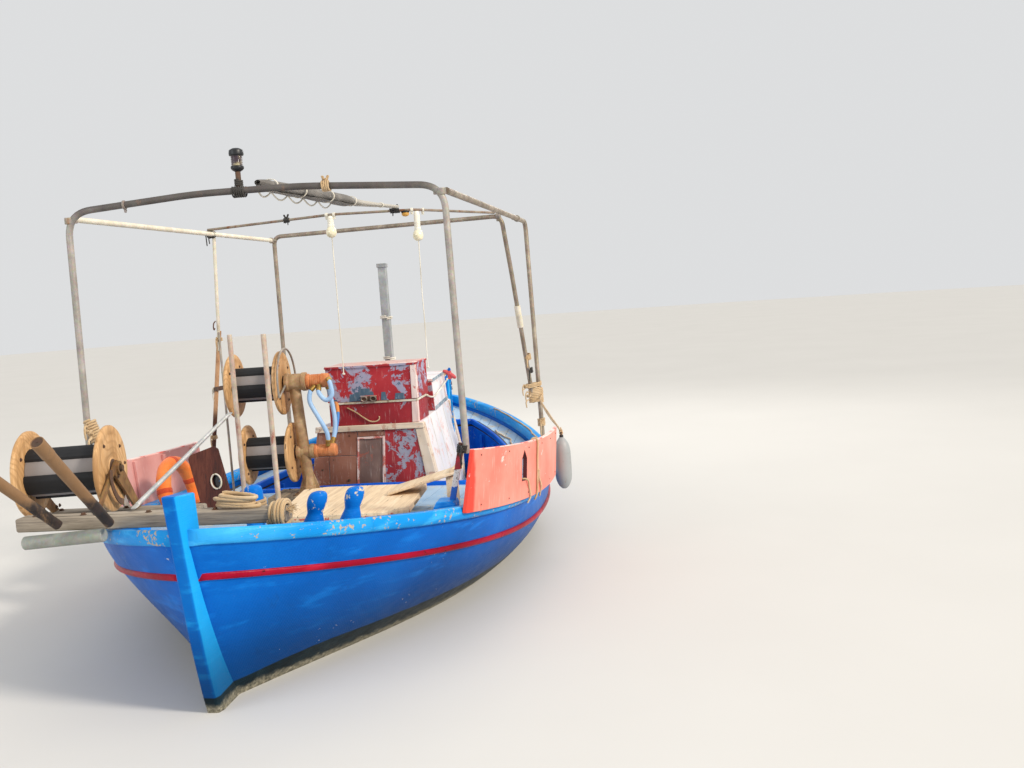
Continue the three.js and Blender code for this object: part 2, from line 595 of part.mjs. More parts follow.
// Boards that raise the sides amidships, fixed to the outer face of the rail, each with one slot
function weatherBoard(side, { fore, aft, slotX, slotLow, slotHigh }) {
  const [thickness, height, lean, railOut] = [22, 330, 26, 41];
  const rings = spacing(11, aft, fore).map((x) => {
    const y = halfAt(x) + railOut;
    const z = sheerHeight(x);
    return [
      vec(x, side * (y + thickness), z), vec(x, side * (y + lean + thickness), z + height),
      vec(x, side * (y + lean), z + height), vec(x, side * y, z),
    ];
  });
  const board = loft(side > 0 ? rings : rings.map((ring) => ring.toReversed()));
  const half = 22;
  const low = sheerHeight(slotX);
  const slot = uprightPlate([
    [slotX - half, low + slotLow], [slotX + half, low + slotLow], [slotX + half, low + slotHigh - 50],
    [slotX, low + slotHigh], [slotX - half, low + slotHigh - 50],
  ], side > 0 ? 900 : -1400, side > 0 ? 1400 : -900);
  return cut(board, slot);
}

function buildSides() {
  const portBoard = { fore: 1700, aft: -50, slotX: 1060, slotLow: 110, slotHigh: 280 };
  const stbdBoard = { fore: 1330, aft: -250, slotX: 630, slotLow: 70, slotHigh: 250 };
  add('board_port', 'boardRed', weatherBoard(1, portBoard));
  add('board_stbd', 'boardRed', weatherBoard(-1, stbdBoard));
  const post = (height) => [[0, 0], [46, 0], [46, height - 30], [38, height - 6], [20, height], [0, height]];
  add('fore_bitt', 'railBlue', onDeck(turned(post(340), [2052, 30, 560], 'z', 14)));
  const knob = [[0, 0], [64, 0], [64, 60], [42, 120], [36, 160], [50, 198], [50, 232], [34, 256], [0, 262]];
  add('rail_bitt_fore', 'railBlue', onDeck(turned(knob, [2300, 410, 642], 'z', 14)));
  add('rail_bitt_aft', 'railBlue', onDeck(turned(knob, [2150, 543, 628], 'z', 14)));
  for (const [name, x, y] of [['net_pole_stbd', 900, -512], ['net_pole_port', 1250, -160]]) {
    add(name, 'galvanized', onDeck(pipe([[x, y, 400], [x, y, 1615]], 15, { sides: 8 })));
  }
  add('hatch_board', 'timber', hatchBoard());
  add('fender', 'fender', turned([
    [0, 0], [20, 4], [48, 40], [58, 90], [58, 250], [48, 310], [24, 345], [14, 360], [14, 385], [0, 388],
  ], [-125, 1372, 372], 'z', 14));
  add('lifebuoy', 'orange', lifebuoy());
}

function hatchBoard() {
  const [x0, x1] = [700, 1500];
  const z = sheerHeight(x1) - deck.drop + 30;
  return flatPlate([
    [x0 + 40, -190], [x1 - 130, -110], [x1, -10], [x1 - 20, 510], [x1 - 160, 630], [x0, 590], [x0 - 20, -50],
  ], z, z + 42);
}

// A horseshoe of foam leaning on the inside of the starboard board
function lifebuoy() {
  const [x, y, z, arm, tube, lean] = [760, -1000, 640, 185, 48, 40];
  const arms = [];
  for (let i = 0; i <= 12; i += 1) {
    const a = THREE.MathUtils.degToRad(-10 + (200 * i) / 12);
    arms.push([x + arm * Math.cos(a), y - lean * Math.sin(a), z + arm * Math.sin(a)]);
  }
  return pipe([[x + 150, y + 15, z - 120], ...arms, [x - 150, y + 15, z - 120]], tube, { sides: 8 });
}

// Underwater gear
const rudderAxis = { low: vec(-2905, 0, keel.bottom), rake: (3166 - 2905) / 1545 };
function buildSteering() {
  const edge = (z) => rudderAxis.low.x - (z - keel.bottom) * rudderAxis.rake;
  // Distance from the hinge line, and height
  const outline = [
    [20, -520], [20, 1015], [-75, 1015], [-75, 560], [-110, 200], [-220, -60], [-270, -300], [-240, -520],
  ];
  const blade = uprightPlate(outline.map(([out, z]) => [edge(z) + out, z]), -18, 18);
  const tillerZ = 992;
  const tillerPath = [[edge(tillerZ) - 30, 0, tillerZ], [-2900, 0, tillerZ], [-2330, 0, 900]];
  const tiller = pipe(tillerPath, 20, { bend: 150, sides: 8 });
  add('rudder', 'hullBlue', joined(blade, tiller));
  add('propeller', 'brass', propeller());
}

function propeller() {
  const [x, pitch, thickness] = [-2655, 1.1, 9];
  const shaft = rod(13, 175, [x, 0, keel.shaftZ], 'x', 12);
  const hubProfile = [[0, -42], [14, -38], [30, -22], [30, 32], [22, 38], [0, 38]];
  const hub = turned(hubProfile, [x, 0, keel.shaftZ], 'x', 16);
  const halfBlade = [[20, 10], [44, 60], [46, 105], [22, 142]];
  const outline = [...halfBlade.map(([w, r]) => [-w, r]), ...halfBlade.toReversed()];
  const shape = new THREE.Shape(outline.map(([w, r]) => new THREE.Vector2(w, r)));
  const blades = [0, 1, 2].map((k) => {
    const blade = new THREE.ExtrudeGeometry(shape, { depth: thickness, bevelEnabled: false });
    blade.translate(0, 0, -thickness / 2).rotateY(pitch).rotateX((k * 2 * Math.PI) / 3);
    return blade.translate(x, 0, keel.shaftZ);
  });
  return joined(shaft, hub, ...blades);
}

// Hoses and cords, each point chosen by hand
function buildCords() {
  const { upperZ, lowerZ } = hauler;
  const x = hauler.x - 15;
  const routes = {
    hose_long: [
      [x + 40, -205, upperZ - 34], [x + 70, -225, 1190], [x + 75, -232, 1120], [x + 62, -190, 1020],
      [x + 50, -150, 930], [x + 45, -140, lowerZ + 90], [x + 32, -150, lowerZ + 36],
    ],
    hose_loop: [
      [x + 44, -170, upperZ - 28], [x + 78, -165, 1180], [x + 80, -120, 1130],
      [x + 76, -78, 1165], [x + 70, -90, 1255], [x + 40, -108, 1262],
    ],
    hose_short: [
      [x - 48, -150, upperZ - 20], [x - 75, -140, 1150], [x - 70, -120, 1000],
      [x - 60, -125, 900], [x - 34, -140, lowerZ + 36],
    ],
  };
  const motorSpaces = [[upperZ, hauler.upper.motor], [lowerZ, hauler.lower.motor]]
    .map(([z, [radius, y0, y1]]) => swungWithHauler(rod(radius + gap, y1 - y0, [hauler.x, y0, z], 'y', 16)));
  const [hoseRadius, lineRadius] = [11, 4];
  for (const [name, route] of Object.entries(routes)) {
    add(name, 'hose', cut(cord(route, hoseRadius, 18), ...motorSpaces));
  }
  add('line_stbd', 'cord', cord([
    [-2, -100, 2207], [-2, -99, 2050], [1, -97, 1850], [-2, -99, 1600], [0, -98, 1400], [0, -98, 1262],
  ], lineRadius, 10));
  add('line_port', 'cord', cord([
    [-148, 470, 2149], [-148, 469, 2000], [-146, 467, 1800],
    [-148, 469, 1600], [-147, 468, 1420], [-147, 468, 1262],
  ], lineRadius, 10));
}

buildHull();
buildDecks();
buildBow();
buildDrum('bow_roller', swungWithRoller, {
  ...bowRoller, radius: rollerRadius, coreRadius: 128, axleIn: -575, axleOut: -1080,
});
buildHauler();
buildCasings();
buildFrame();
buildSides();
buildSteering();
buildCords();

export default boat;
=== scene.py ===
import math
import bpy
import numpy as np
from mathutils import Matrix, Vector


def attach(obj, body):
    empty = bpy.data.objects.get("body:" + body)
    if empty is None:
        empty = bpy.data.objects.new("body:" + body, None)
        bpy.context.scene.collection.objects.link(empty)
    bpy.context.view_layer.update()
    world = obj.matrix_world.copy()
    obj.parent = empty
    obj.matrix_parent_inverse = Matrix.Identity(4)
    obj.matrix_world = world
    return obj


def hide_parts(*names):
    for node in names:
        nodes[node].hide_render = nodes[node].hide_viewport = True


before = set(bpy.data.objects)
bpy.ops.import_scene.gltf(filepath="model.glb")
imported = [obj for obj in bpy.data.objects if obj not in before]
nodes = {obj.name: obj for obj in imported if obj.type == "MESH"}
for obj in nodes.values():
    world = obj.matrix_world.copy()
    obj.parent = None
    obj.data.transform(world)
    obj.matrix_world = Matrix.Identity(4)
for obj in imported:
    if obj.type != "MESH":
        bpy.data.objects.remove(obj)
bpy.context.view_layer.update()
print("frame loaded:", len(nodes), "nodes")


# A shape is a pair: an array of points, and a list of arrays of faces with equal corner counts.
# Quads between neighbouring rows and columns of a grid, joined round where a direction closes.
def gridFaces(rows, columns, roundRows=False, roundColumns=False):
    lastRow = rows if roundRows else rows - 1
    lastColumn = columns if roundColumns else columns - 1
    row, column = np.meshgrid(np.arange(lastRow), np.arange(lastColumn), indexing="ij")
    nextRow, nextColumn = (row + 1) % rows, (column + 1) % columns
    corners = [row * columns + column, row * columns + nextColumn, nextRow * columns + nextColumn,
               nextRow * columns + column]
    return np.stack(corners, -1).reshape(-1, 4)


# The signed volume under a closed shape's faces tells which way they point
def outward(points, faces):
    volume = 0.0
    for block in faces:
        for k in range(1, block.shape[1] - 1):
            triple = np.cross(points[block[:, k]], points[block[:, k + 1]])
            volume += np.einsum("ij,ij->", points[block[:, 0]], triple)
    return (points, faces) if volume > 0 else (points, [block[:, ::-1] for block in faces])


# Rings of equal count along a path make a closed shape, each end shut by one flat face
def ringShape(grid):
    rows, columns, _ = grid.shape
    ring = np.arange(columns)
    faces = [gridFaces(rows, columns, False, True), ring[None, :], (rows - 1) * columns + ring[None, ::-1]]
    faces[1], faces[2] = faces[1][:, ::-1], faces[2][:, ::-1]
    return outward(grid.reshape(-1, 3), faces)


# A ring that closes on itself both ways, such as a hoop
def hoopShape(grid):
    return outward(grid.reshape(-1, 3), [gridFaces(grid.shape[0], grid.shape[1], True, True)])


# A sheet given as its upper and lower grids, joined round its edge
def slabShape(upper, lower):
    rows, columns, _ = upper.shape
    count = rows * columns
    rim = np.concatenate([
        np.arange(columns), columns * np.arange(1, rows) + columns - 1,
        (rows - 1) * columns + np.arange(columns - 2, -1, -1), columns * np.arange(rows - 2, 0, -1)])
    after = np.roll(rim, -1)
    top = gridFaces(rows, columns)
    sides = np.stack([rim + count, after + count, after, rim], -1)
    points = np.concatenate([upper.reshape(-1, 3), lower.reshape(-1, 3)])
    return outward(points, [top, top[:, ::-1] + count, sides])


def unit(vectors):
    vectors = np.asarray(vectors, float)
    return vectors / np.maximum(np.linalg.norm(vectors, axis=-1, keepdims=True), 1e-9)


# A flat section carried along a path: its first number runs along the given side, its second square to it
def sweptShape(path, section, side=(0, 0, 1), closed=False):
    path = np.asarray(path, float)
    section = np.broadcast_to(section, (len(path), *np.shape(section)[-2:]))
    if closed:
        tangent = unit(np.roll(path, -1, 0) - np.roll(path, 1, 0))
    else:
        tangent = unit(np.gradient(path, axis=0))
    side = np.broadcast_to(np.asarray(side, float), path.shape)
    across = unit(side - np.sum(side * tangent, -1, keepdims=True) * tangent)
    upward = np.cross(tangent, across)
    grid = path[:, None] + section[..., :1] * across[:, None] + section[..., 1:] * upward[:, None]
    return hoopShape(grid) if closed else ringShape(grid)


def circle(radius, sides=16):
    angle = 2 * np.pi * np.arange(sides) / sides
    return radius * np.stack([np.cos(angle), np.sin(angle)], -1)


# A circle whose radius changes along the path
def taperedCircle(radii, sides=16):
    return np.asarray(radii)[:, None, None] * circle(1, sides)[None]


# A rectangle with rounded corners, as a flat section
def roundedRectangle(width, height, radius):
    angle = np.linspace(0, np.pi / 2, 4)
    corner = radius * np.stack([np.cos(angle), np.sin(angle)], -1)
    turns = [np.array([[c, -s], [s, c]]) for c, s in ((1, 0), (0, 1), (-1, 0), (0, -1))]
    middles = [(1, 1), (-1, 1), (-1, -1), (1, -1)]
    half = np.array([width / 2 - radius, height / 2 - radius])
    return np.concatenate([corner @ turn.T + half * middle for turn, middle in zip(turns, middles)])


# Length along a path, from its start
def lengthAlong(path):
    return np.concatenate([[0], np.cumsum(np.linalg.norm(np.diff(path, axis=0), axis=1))])


def evenly(path, count):
    along = lengthAlong(path)
    places = np.linspace(0, along[-1], count)
    return np.stack([np.interp(places, along, path[:, k]) for k in range(3)], -1)


# A cubic through given points, whose slope at a point is half the step between its neighbours
def smoothThrough(points, count):
    points = np.asarray(points, float)
    padded = np.concatenate([2 * points[:1] - points[1:2], points, 2 * points[-1:] - points[-2:-1]])
    spans = len(padded) - 3
    t = np.linspace(0, spans, spans * 24 + 1)
    i = np.minimum(t.astype(int), spans - 1)
    f = (t - i)[:, None]
    before, start, end, after = (padded[i + k] for k in range(4))
    curve = 0.5 * (2 * start + (end - before) * f + (2 * before - 5 * start + 4 * end - after) * f**2
                   + (3 * start - before - 3 * end + after) * f**3)
    return evenly(curve, count)


# Straight runs between points, each corner rounded by a quadratic curve that starts a bend's length before it
def bentPath(points, bend, step=0.03):
    points = np.asarray(points, float)
    pieces = [points[:1]]
    for before, corner, after in zip(points, points[1:], points[2:]):
        back, ahead = before - corner, after - corner
        reach = min(bend, 0.45 * np.linalg.norm(back), 0.45 * np.linalg.norm(ahead))
        start, end = corner + reach * unit(back), corner + reach * unit(ahead)
        f = np.linspace(0, 1, 12)[:, None]
        pieces.append((1 - f)**2 * start + 2 * f * (1 - f) * corner + f**2 * end)
    path = np.concatenate(pieces + [points[-1:]])
    return evenly(path, max(int(lengthAlong(path)[-1] / step), 8))


# A turned piece: its profile holds [radius, along], and it stands along an axis from a place
def turnedShape(profile, place, axis=(0, 0, 1), sides=32):
    profile = np.asarray(profile, float)
    axis = unit(axis)
    side = unit(np.cross(axis, (0.0, 1.0, 0.0) if abs(axis[1]) < 0.9 else (1.0, 0.0, 0.0)))
    other = np.cross(axis, side)
    ring = circle(1, sides)
    around = ring[:, :1] * side + ring[:, 1:] * other
    grid = np.asarray(place) + profile[:, 1, None, None] * axis + profile[:, 0, None, None] * around
    return ringShape(grid)


# A profile's corners rounded for turning: each corner is replaced by a short arc of points
def rounded(profile, radius):
    profile = np.asarray(profile, float)
    pieces = [profile[:1]]
    for before, corner, after in zip(profile, profile[1:], profile[2:]):
        back, ahead = before - corner, after - corner
        reach = min(radius, 0.48 * np.linalg.norm(back), 0.48 * np.linalg.norm(ahead))
        start, end = corner + reach * unit(back), corner + reach * unit(ahead)
        f = np.linspace(0, 1, 4)[:, None]
        pieces.append((1 - f)**2 * start + 2 * f * (1 - f) * corner + f**2 * end)
    return np.concatenate(pieces + [profile[-1:]])


# A rounded profile that is closed to the axis at both its ends
def capped(profile, radius):
    return rounded([[0, profile[0][1]], *profile, [0, profile[-1][1]]], radius)


# An oblong's corners in order round
def oblong(start, end, low, high):
    return [(start, low), (end, low), (end, high), (start, high)]


# A flat outline given a thickness between two offsets along its normal
def plateShape(outline, origin, along, upward, low, high):
    outline = np.asarray(outline, float)
    along, upward = unit(along), unit(upward)
    normal = np.cross(along, upward)
    flat = np.asarray(origin) + outline[:, :1] * along + outline[:, 1:] * upward
    return ringShape(np.stack([flat + low * normal, flat + high * normal]))


# A sawn timber between two places: a rounded rectangle that wanders and swells a little along its length
def timberShape(start, end, width, height, side=(0, 0, 1), radius=0.006, wander=0.0015, seed=1):
    start, end = np.asarray(start, float), np.asarray(end, float)
    count = max(int(np.linalg.norm(end - start) / 0.04), 4)
    along = np.linspace(0, 1, count)[:, None]
    path = start + (end - start) * along
    path = path + wander * ripple(3 * along[:, 0], seed)[:, None] * unit(side)
    inset = np.ones(count)
    inset[[0, -1]] = 1 - radius / max(width, height)
    path[1], path[-2] = path[0] + unit(end - start) * radius, path[-1] - unit(end - start) * radius
    section = roundedRectangle(width, height, radius)[None] * inset[:, None, None]
    section = section * (1 + 0.5 * wander / width * ripple(7 * along[:, 0], seed + 9))[:, None, None]
    return sweptShape(path, section, side)


# A smooth irregular wave: three sines whose phases come from a seed
def ripple(values, seed=0):
    phases = np.random.default_rng(abs(seed)).uniform(0, 2 * np.pi, 3)
    values = np.asarray(values, float)
    return (np.sin(2.1 * values + phases[0]) + 0.6 * np.sin(4.7 * values + phases[1])
            + 0.35 * np.sin(9.3 * values + phases[2])) / 1.4


# Laid rope: three round strands seen as lobes of the radius that wind forward along the path
def ropeShape(path, radius, sides=14, side=(0, 0, 1)):
    path = np.asarray(path, float)
    total = lengthAlong(path)[-1]
    path = evenly(path, max(int(total / (1.1 * radius)), 8))
    along = np.linspace(0, total, len(path))[:, None]
    angle = 2 * np.pi * np.arange(sides) / sides
    turns = round(total / (7 * radius)) / max(total, 1e-6) * 2 * np.pi
    strands = radius * (0.78 + 0.22 * np.abs(np.cos(1.5 * (angle[None] - turns * along))))
    section = strands[..., None] * np.stack([np.cos(angle), np.sin(angle)], -1)
    section[[0, -1]] *= 0.55
    return sweptShape(path, section, side)


# Turns of rope wound round an oval that lies square to an axis
def windingPath(centre, axis, side, halfSide, halfOther, turns, pitch, start=0.0, perTurn=28):
    axis = unit(axis)
    side = np.asarray(side, float)
    side = unit(side - np.sum(side * axis) * axis)
    other = np.cross(axis, side)
    angle = start + np.linspace(0, 2 * np.pi * turns, int(perTurn * turns) + 1)[:, None]
    lift = pitch * (angle - start) / (2 * np.pi) - pitch * turns / 2
    return np.asarray(centre) + halfSide * np.cos(angle) * side + halfOther * np.sin(angle) * other + lift * axis


# A bolt head: a six-sided head with a soft edge over a washer, standing on a face
def boltShapes(place, axis, size=0.009):
    head = [[0, 0], [1.5 * size, 0], [1.5 * size, 0.25 * size], [1.0 * size, 0.3 * size], [1.0 * size, 0.95 * size],
            [0.85 * size, 1.1 * size], [0, 1.1 * size]]
    washer = turnedShape(head[:4] + [[0, 0.3 * size]], place, axis, 18)
    top = turnedShape([[0, 0.28 * size], *head[3:]], place, axis, 6)
    return [washer, top]


# A straight rod with softly rounded rims
def rodShape(start, end, radius, sides=18, soft=0.0015):
    start, end = np.asarray(start, float), np.asarray(end, float)
    length = np.linalg.norm(end - start)
    profile = [[0, 0], [radius - soft, 0], [radius, soft], [radius, length - soft], [radius - soft, length],
               [0, length]]
    return turnedShape(profile, start, end - start, sides)


# The bolts of a row or a grid, for each of some steps along the boat and each of some across it
def boltGrid(middle, alongs, acrosses, size):
    x, y, z = middle
    return [shape for dx in alongs for dy in acrosses for shape in boltShapes((x + dx, y + dy, z), (0, 0, 1), size)]


def moved(shape, change):
    matrix = np.array(change)
    points = shape[0] @ matrix[:3, :3].T + matrix[:3, 3]
    return outward(points, shape[1])


# The mesh of one piece: its shapes joined, riding on a body, with its finish
def makePiece(name, shapes, finish, body="root", replaced=(), sharp=38, bevel=0.0, levels=0, segments=2):
    offsets = np.cumsum([0] + [len(shape[0]) for shape in shapes])
    points = np.concatenate([shape[0] for shape in shapes])
    blocks = [block + start for shape, start in zip(shapes, offsets) for block in shape[1]]
    loops = np.concatenate([block.reshape(-1) for block in blocks])
    sizes = np.concatenate([np.full(len(block), block.shape[1]) for block in blocks])
    mesh = bpy.data.meshes.new(name)
    mesh.vertices.add(len(points))
    mesh.vertices.foreach_set("co", points.astype(np.float32).reshape(-1))
    mesh.loops.add(len(loops))
    mesh.loops.foreach_set("vertex_index", loops.astype(np.int32))
    mesh.polygons.add(len(sizes))
    mesh.polygons.foreach_set("loop_start", np.concatenate([[0], np.cumsum(sizes)[:-1]]).astype(np.int32))
    mesh.polygons.foreach_set("loop_total", sizes.astype(np.int32))
    mesh.polygons.foreach_set("use_smooth", np.ones(len(sizes), bool))
    mesh.update(calc_edges=True)
    mesh.validate()
    mesh.set_sharp_from_angle(angle=math.radians(sharp))
    piece = bpy.data.objects.new(name, mesh)
    bpy.context.scene.collection.objects.link(piece)
    if bevel:
        addBevel(piece, bevel, segments)
    if levels:
        subdivision = piece.modifiers.new("Soft", "SUBSURF")
        subdivision.levels = levels
        subdivision.render_levels = levels
    mesh.materials.append(finish)
    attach(piece, body)
    if replaced:
        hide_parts(*replaced)
    return piece


def addBevel(piece, width, segments=2):
    bevelling = piece.modifiers.new("Edge", "BEVEL")
    bevelling.width = width
    bevelling.segments = segments
    bevelling.limit_method = "ANGLE"
    bevelling.angle_limit = math.radians(32)
    bevelling.use_clamp_overlap = True
    bevelling.harden_normals = False


# A solid of the frame whose form is right: its loose triangles are welded and its edges softened by modifiers
def dressNode(name, finish, bevel=0.0, segments=2):
    node = nodes[name]
    node.data.materials.clear()
    node.data.materials.append(finish)
    if bevel:
        weld = node.modifiers.new("Weld", "WELD")
        weld.merge_threshold = 0.00002
        flat = node.modifiers.new("Flat", "DECIMATE")
        flat.decimate_type = "DISSOLVE"
        flat.angle_limit = math.radians(1.0)
        addBevel(node, bevel, segments)
    return node


print("shapes ready")


# A colour given as on a paint card, in the linear values that shaders take
def paint(code):
    parts = np.array([int(code[i:i + 2], 16) for i in (1, 3, 5)]) / 255
    return (*np.where(parts > 0.04045, ((parts + 0.055) / 1.055)**2.4, parts / 12.92), 1.0)


# One finish: a Principled shader, with short ways to add patterns on the object's own coordinates
class Finish:
    def __init__(self, name, roughness=0.5, metallic=0.0, specular=0.5, coat=0.0, coatRoughness=0.2, sheen=0.0):
        self.material = bpy.data.materials.new(name)
        self.material.use_nodes = True
        self.tree = self.material.node_tree
        self.shader = self.tree.nodes["Principled BSDF"]
        self.shader.inputs["Roughness"].default_value = roughness
        self.shader.inputs["Metallic"].default_value = metallic
        self.shader.inputs["Specular IOR Level"].default_value = specular
        self.shader.inputs["Coat Weight"].default_value = coat
        self.shader.inputs["Coat Roughness"].default_value = coatRoughness
        self.shader.inputs["Sheen Weight"].default_value = sheen
        self.place = self.tree.nodes.new("ShaderNodeTexCoord").outputs["Object"]
        self.reliefs = []

    def node(self, kind, settings=(), **values):
        made = self.tree.nodes.new("ShaderNode" + kind)
        for name, value in dict(settings).items():
            setattr(made, name, value)
        for name, value in values.items():
            self.feed(made.inputs[int(name[1:]) if name[0] == "i" and name[1:].isdigit() else name], value)
        return made

    def feed(self, socket, value):
        if isinstance(value, bpy.types.NodeSocket):
            self.tree.links.new(value, socket)
        else:
            socket.default_value = value

    # The object's coordinates stretched by a scale for each axis, and shifted
    def stretched(self, scale=(1, 1, 1), shift=(0, 0, 0)):
        return self.node("Mapping", i0=self.place, Scale=scale, Location=shift).outputs[0]

    def noise(self, scale, detail=4.0, rough=0.55, where=None, warp=0.0):
        return self.node("TexNoise", Vector=where or self.place, Scale=scale, Detail=detail, Roughness=rough,
                         Distortion=warp).outputs["Fac"]

    def waves(self, scale, warp=0.0, direction="X", profile="SIN"):
        settings = {"bands_direction": direction, "wave_profile": profile}
        return self.node("TexWave", settings, Vector=self.place, Scale=scale, Distortion=warp).outputs["Fac"]

    # 0 below low, 1 above high, a soft step between them
    def step(self, value, low, high):
        ranged = self.node("MapRange", {"interpolation_type": "SMOOTHSTEP"}, i0=value)
        ranged.inputs["From Min"].default_value = low
        ranged.inputs["From Max"].default_value = high
        return ranged.outputs[0]

    def reckoned(self, how, first, second=0.0):
        return self.node("Math", {"operation": how}, i0=first, i1=second).outputs[0]

    def sum(self, first, second):
        return self.reckoned("ADD", first, second)

    def less(self, first, second):
        return self.reckoned("SUBTRACT", first, second)

    def times(self, first, second):
        return self.reckoned("MULTIPLY", first, second)

    # What is left of one
    def rest(self, value):
        return self.less(1.0, value)

    # A noise about zero, which makes a straight border wander
    def wander(self, scale, detail, reach):
        return self.times(self.less(self.noise(scale, detail), 0.5), reach)

    def axis(self, name):
        return self.node("SeparateXYZ", Vector=self.place).outputs[name]

    def upward(self):
        geometry = self.node("NewGeometry")
        return self.node("SeparateXYZ", Vector=geometry.outputs["Normal"]).outputs["Z"]

    def blend(self, amount, first, second, how="MIX"):
        mixed = self.node("Mix", {"data_type": "RGBA", "blend_type": how})
        self.feed(mixed.inputs[0], amount)
        self.feed(mixed.inputs[6], paint(first) if isinstance(first, str) else first)
        self.feed(mixed.inputs[7], paint(second) if isinstance(second, str) else second)
        return mixed.outputs[2]

    # A run of colours, each a place from 0 to 1 and a paint
    def shades(self, value, *stops):
        ramp = self.node("ValToRGB", Fac=value)
        elements = ramp.color_ramp.elements
        while len(elements) < len(stops):
            elements.new(0.5)
        for element, (place, code) in zip(elements, stops):
            element.position = place
            element.color = paint(code)
        return ramp.outputs[0]

    def relief(self, height, depth, strength=1.0):
        self.reliefs.append((height, depth, strength))

    def rough(self, value, low, high):
        ranged = self.node("MapRange", i0=value)
        ranged.inputs["To Min"].default_value = low
        ranged.inputs["To Max"].default_value = high
        self.tree.links.new(ranged.outputs[0], self.shader.inputs["Roughness"])

    def done(self, colour):
        self.feed(self.shader.inputs["Base Color"], colour)
        normal = None
        for height, depth, strength in self.reliefs:
            bump = self.node("Bump", Height=height, Distance=depth, Strength=strength)
            if normal:
                self.tree.links.new(normal, bump.inputs["Normal"])
            normal = bump.outputs[0]
        if normal:
            self.tree.links.new(normal, self.shader.inputs["Normal"])
        return self.material


# The dark bottom paint's upper edge, how far it dips towards the bow and where, and the painted shade that darkens
# the blue above it towards the bottom
bottomPaint = {
    "edge": 0.121, "dip": 0.042, "dipFrom": 2.0, "dipTo": 2.62, "shade": 0.82, "paintedShadeFrom": 0.06, "paintedShadeTo": 0.56,
}


# Brushed gloss paint on planks, with a canvas-like relief, chips down to wood, and rub marks
def gloss(name, tones, chip="#d8d4c8", chips=0.62, roughness=0.34, plankRows=0.0, bottom=False, paintedPortLight=None):
    base, deep, light = tones.split()
    f = Finish(name, roughness, specular=0.08, coat=0.02, coatRoughness=0.3)
    cloud = f.noise(1.7, 5)
    colour = f.shades(cloud, (0.28, deep), (0.52, base), (0.78, light))
    streak = f.noise(6, 4, where=f.stretched((0.35, 1, 3.2)))
    colour = f.blend(f.step(streak, 0.52, 0.72), colour, light)
    grime = f.noise(11, 6, 0.7, where=f.stretched((0.6, 1, 0.35)))
    colour = f.blend(f.times(f.step(grime, 0.6, 0.78), 0.28), colour, "#20303c")
    # Painted light: the port half of the piece, beyond y of about 0.03, turns paler blue as the sunlit side
    if paintedPortLight:
        port = f.step(f.sum(f.axis("Y"), f.times(cloud, 0.01)), 0.03, 0.036)
        colour = f.blend(f.times(port, 0.7), colour, paintedPortLight)
    weave = f.times(f.waves(30, 2.0, direction="X"), f.waves(30, 2.0, direction="Z"))
    f.relief(weave, 0.001, 0.45)
    f.relief(f.noise(30, 4, where=f.stretched((0.3, 1, 2.2))), 0.003, 0.55)
    flakes = f.step(f.sum(f.noise(38, 5, 0.65), f.times(f.noise(4, 2), 0.5)), chips + 0.27, chips + 0.3)
    if bottom:
        b = bottomPaint
        height = f.sum(f.axis("Z"), f.wander(9, 3, 0.012))
        ahead = f.times(f.step(f.axis("X"), b["dipFrom"], b["dipTo"]), b["dip"])
        edge = f.less(height, f.less(b["edge"], ahead))
        below = f.rest(f.step(edge, -0.004, 0.004))
        dark = f.shades(f.noise(14, 6, 0.7), (0.3, "#08141a"), (0.55, "#12242c"), (0.8, "#26383e"))
        scum = f.shades(f.noise(60, 6, 0.75), (0.35, "#4a4a40"), (0.55, "#8a8472"), (0.72, "#d0c8b4"))
        wet = f.rest(f.step(f.less(f.axis("Z"), f.times(f.noise(22, 5), 0.06)), -0.012, 0.022))
        dark = f.blend(wet, dark, scum)
        # Painted shade: the blue turns towards deep navy low on the hull, where it is shaded
        shade = f.times(f.rest(f.step(f.axis("Z"), b["paintedShadeFrom"], b["paintedShadeTo"])), b["shade"])
        colour = f.blend(shade, colour, "#02305e")
        colour = f.blend(f.times(flakes, f.rest(below)), colour, chip)
        colour = f.blend(below, colour, dark)
        f.relief(f.times(f.noise(80, 5, 0.8), wet), 0.006, 0.8)
    else:
        colour = f.blend(flakes, colour, chip)
    f.relief(f.rest(flakes), 0.0012, 0.6)
    if plankRows:
        seam = f.step(f.waves(plankRows, 0.15, direction="Z", profile="SAW"), 0.0, 0.035)
        f.relief(seam, 0.0012, 0.35)
    f.rough(f.noise(16, 4), roughness - 0.1, roughness + 0.2)
    return f.done(colour)


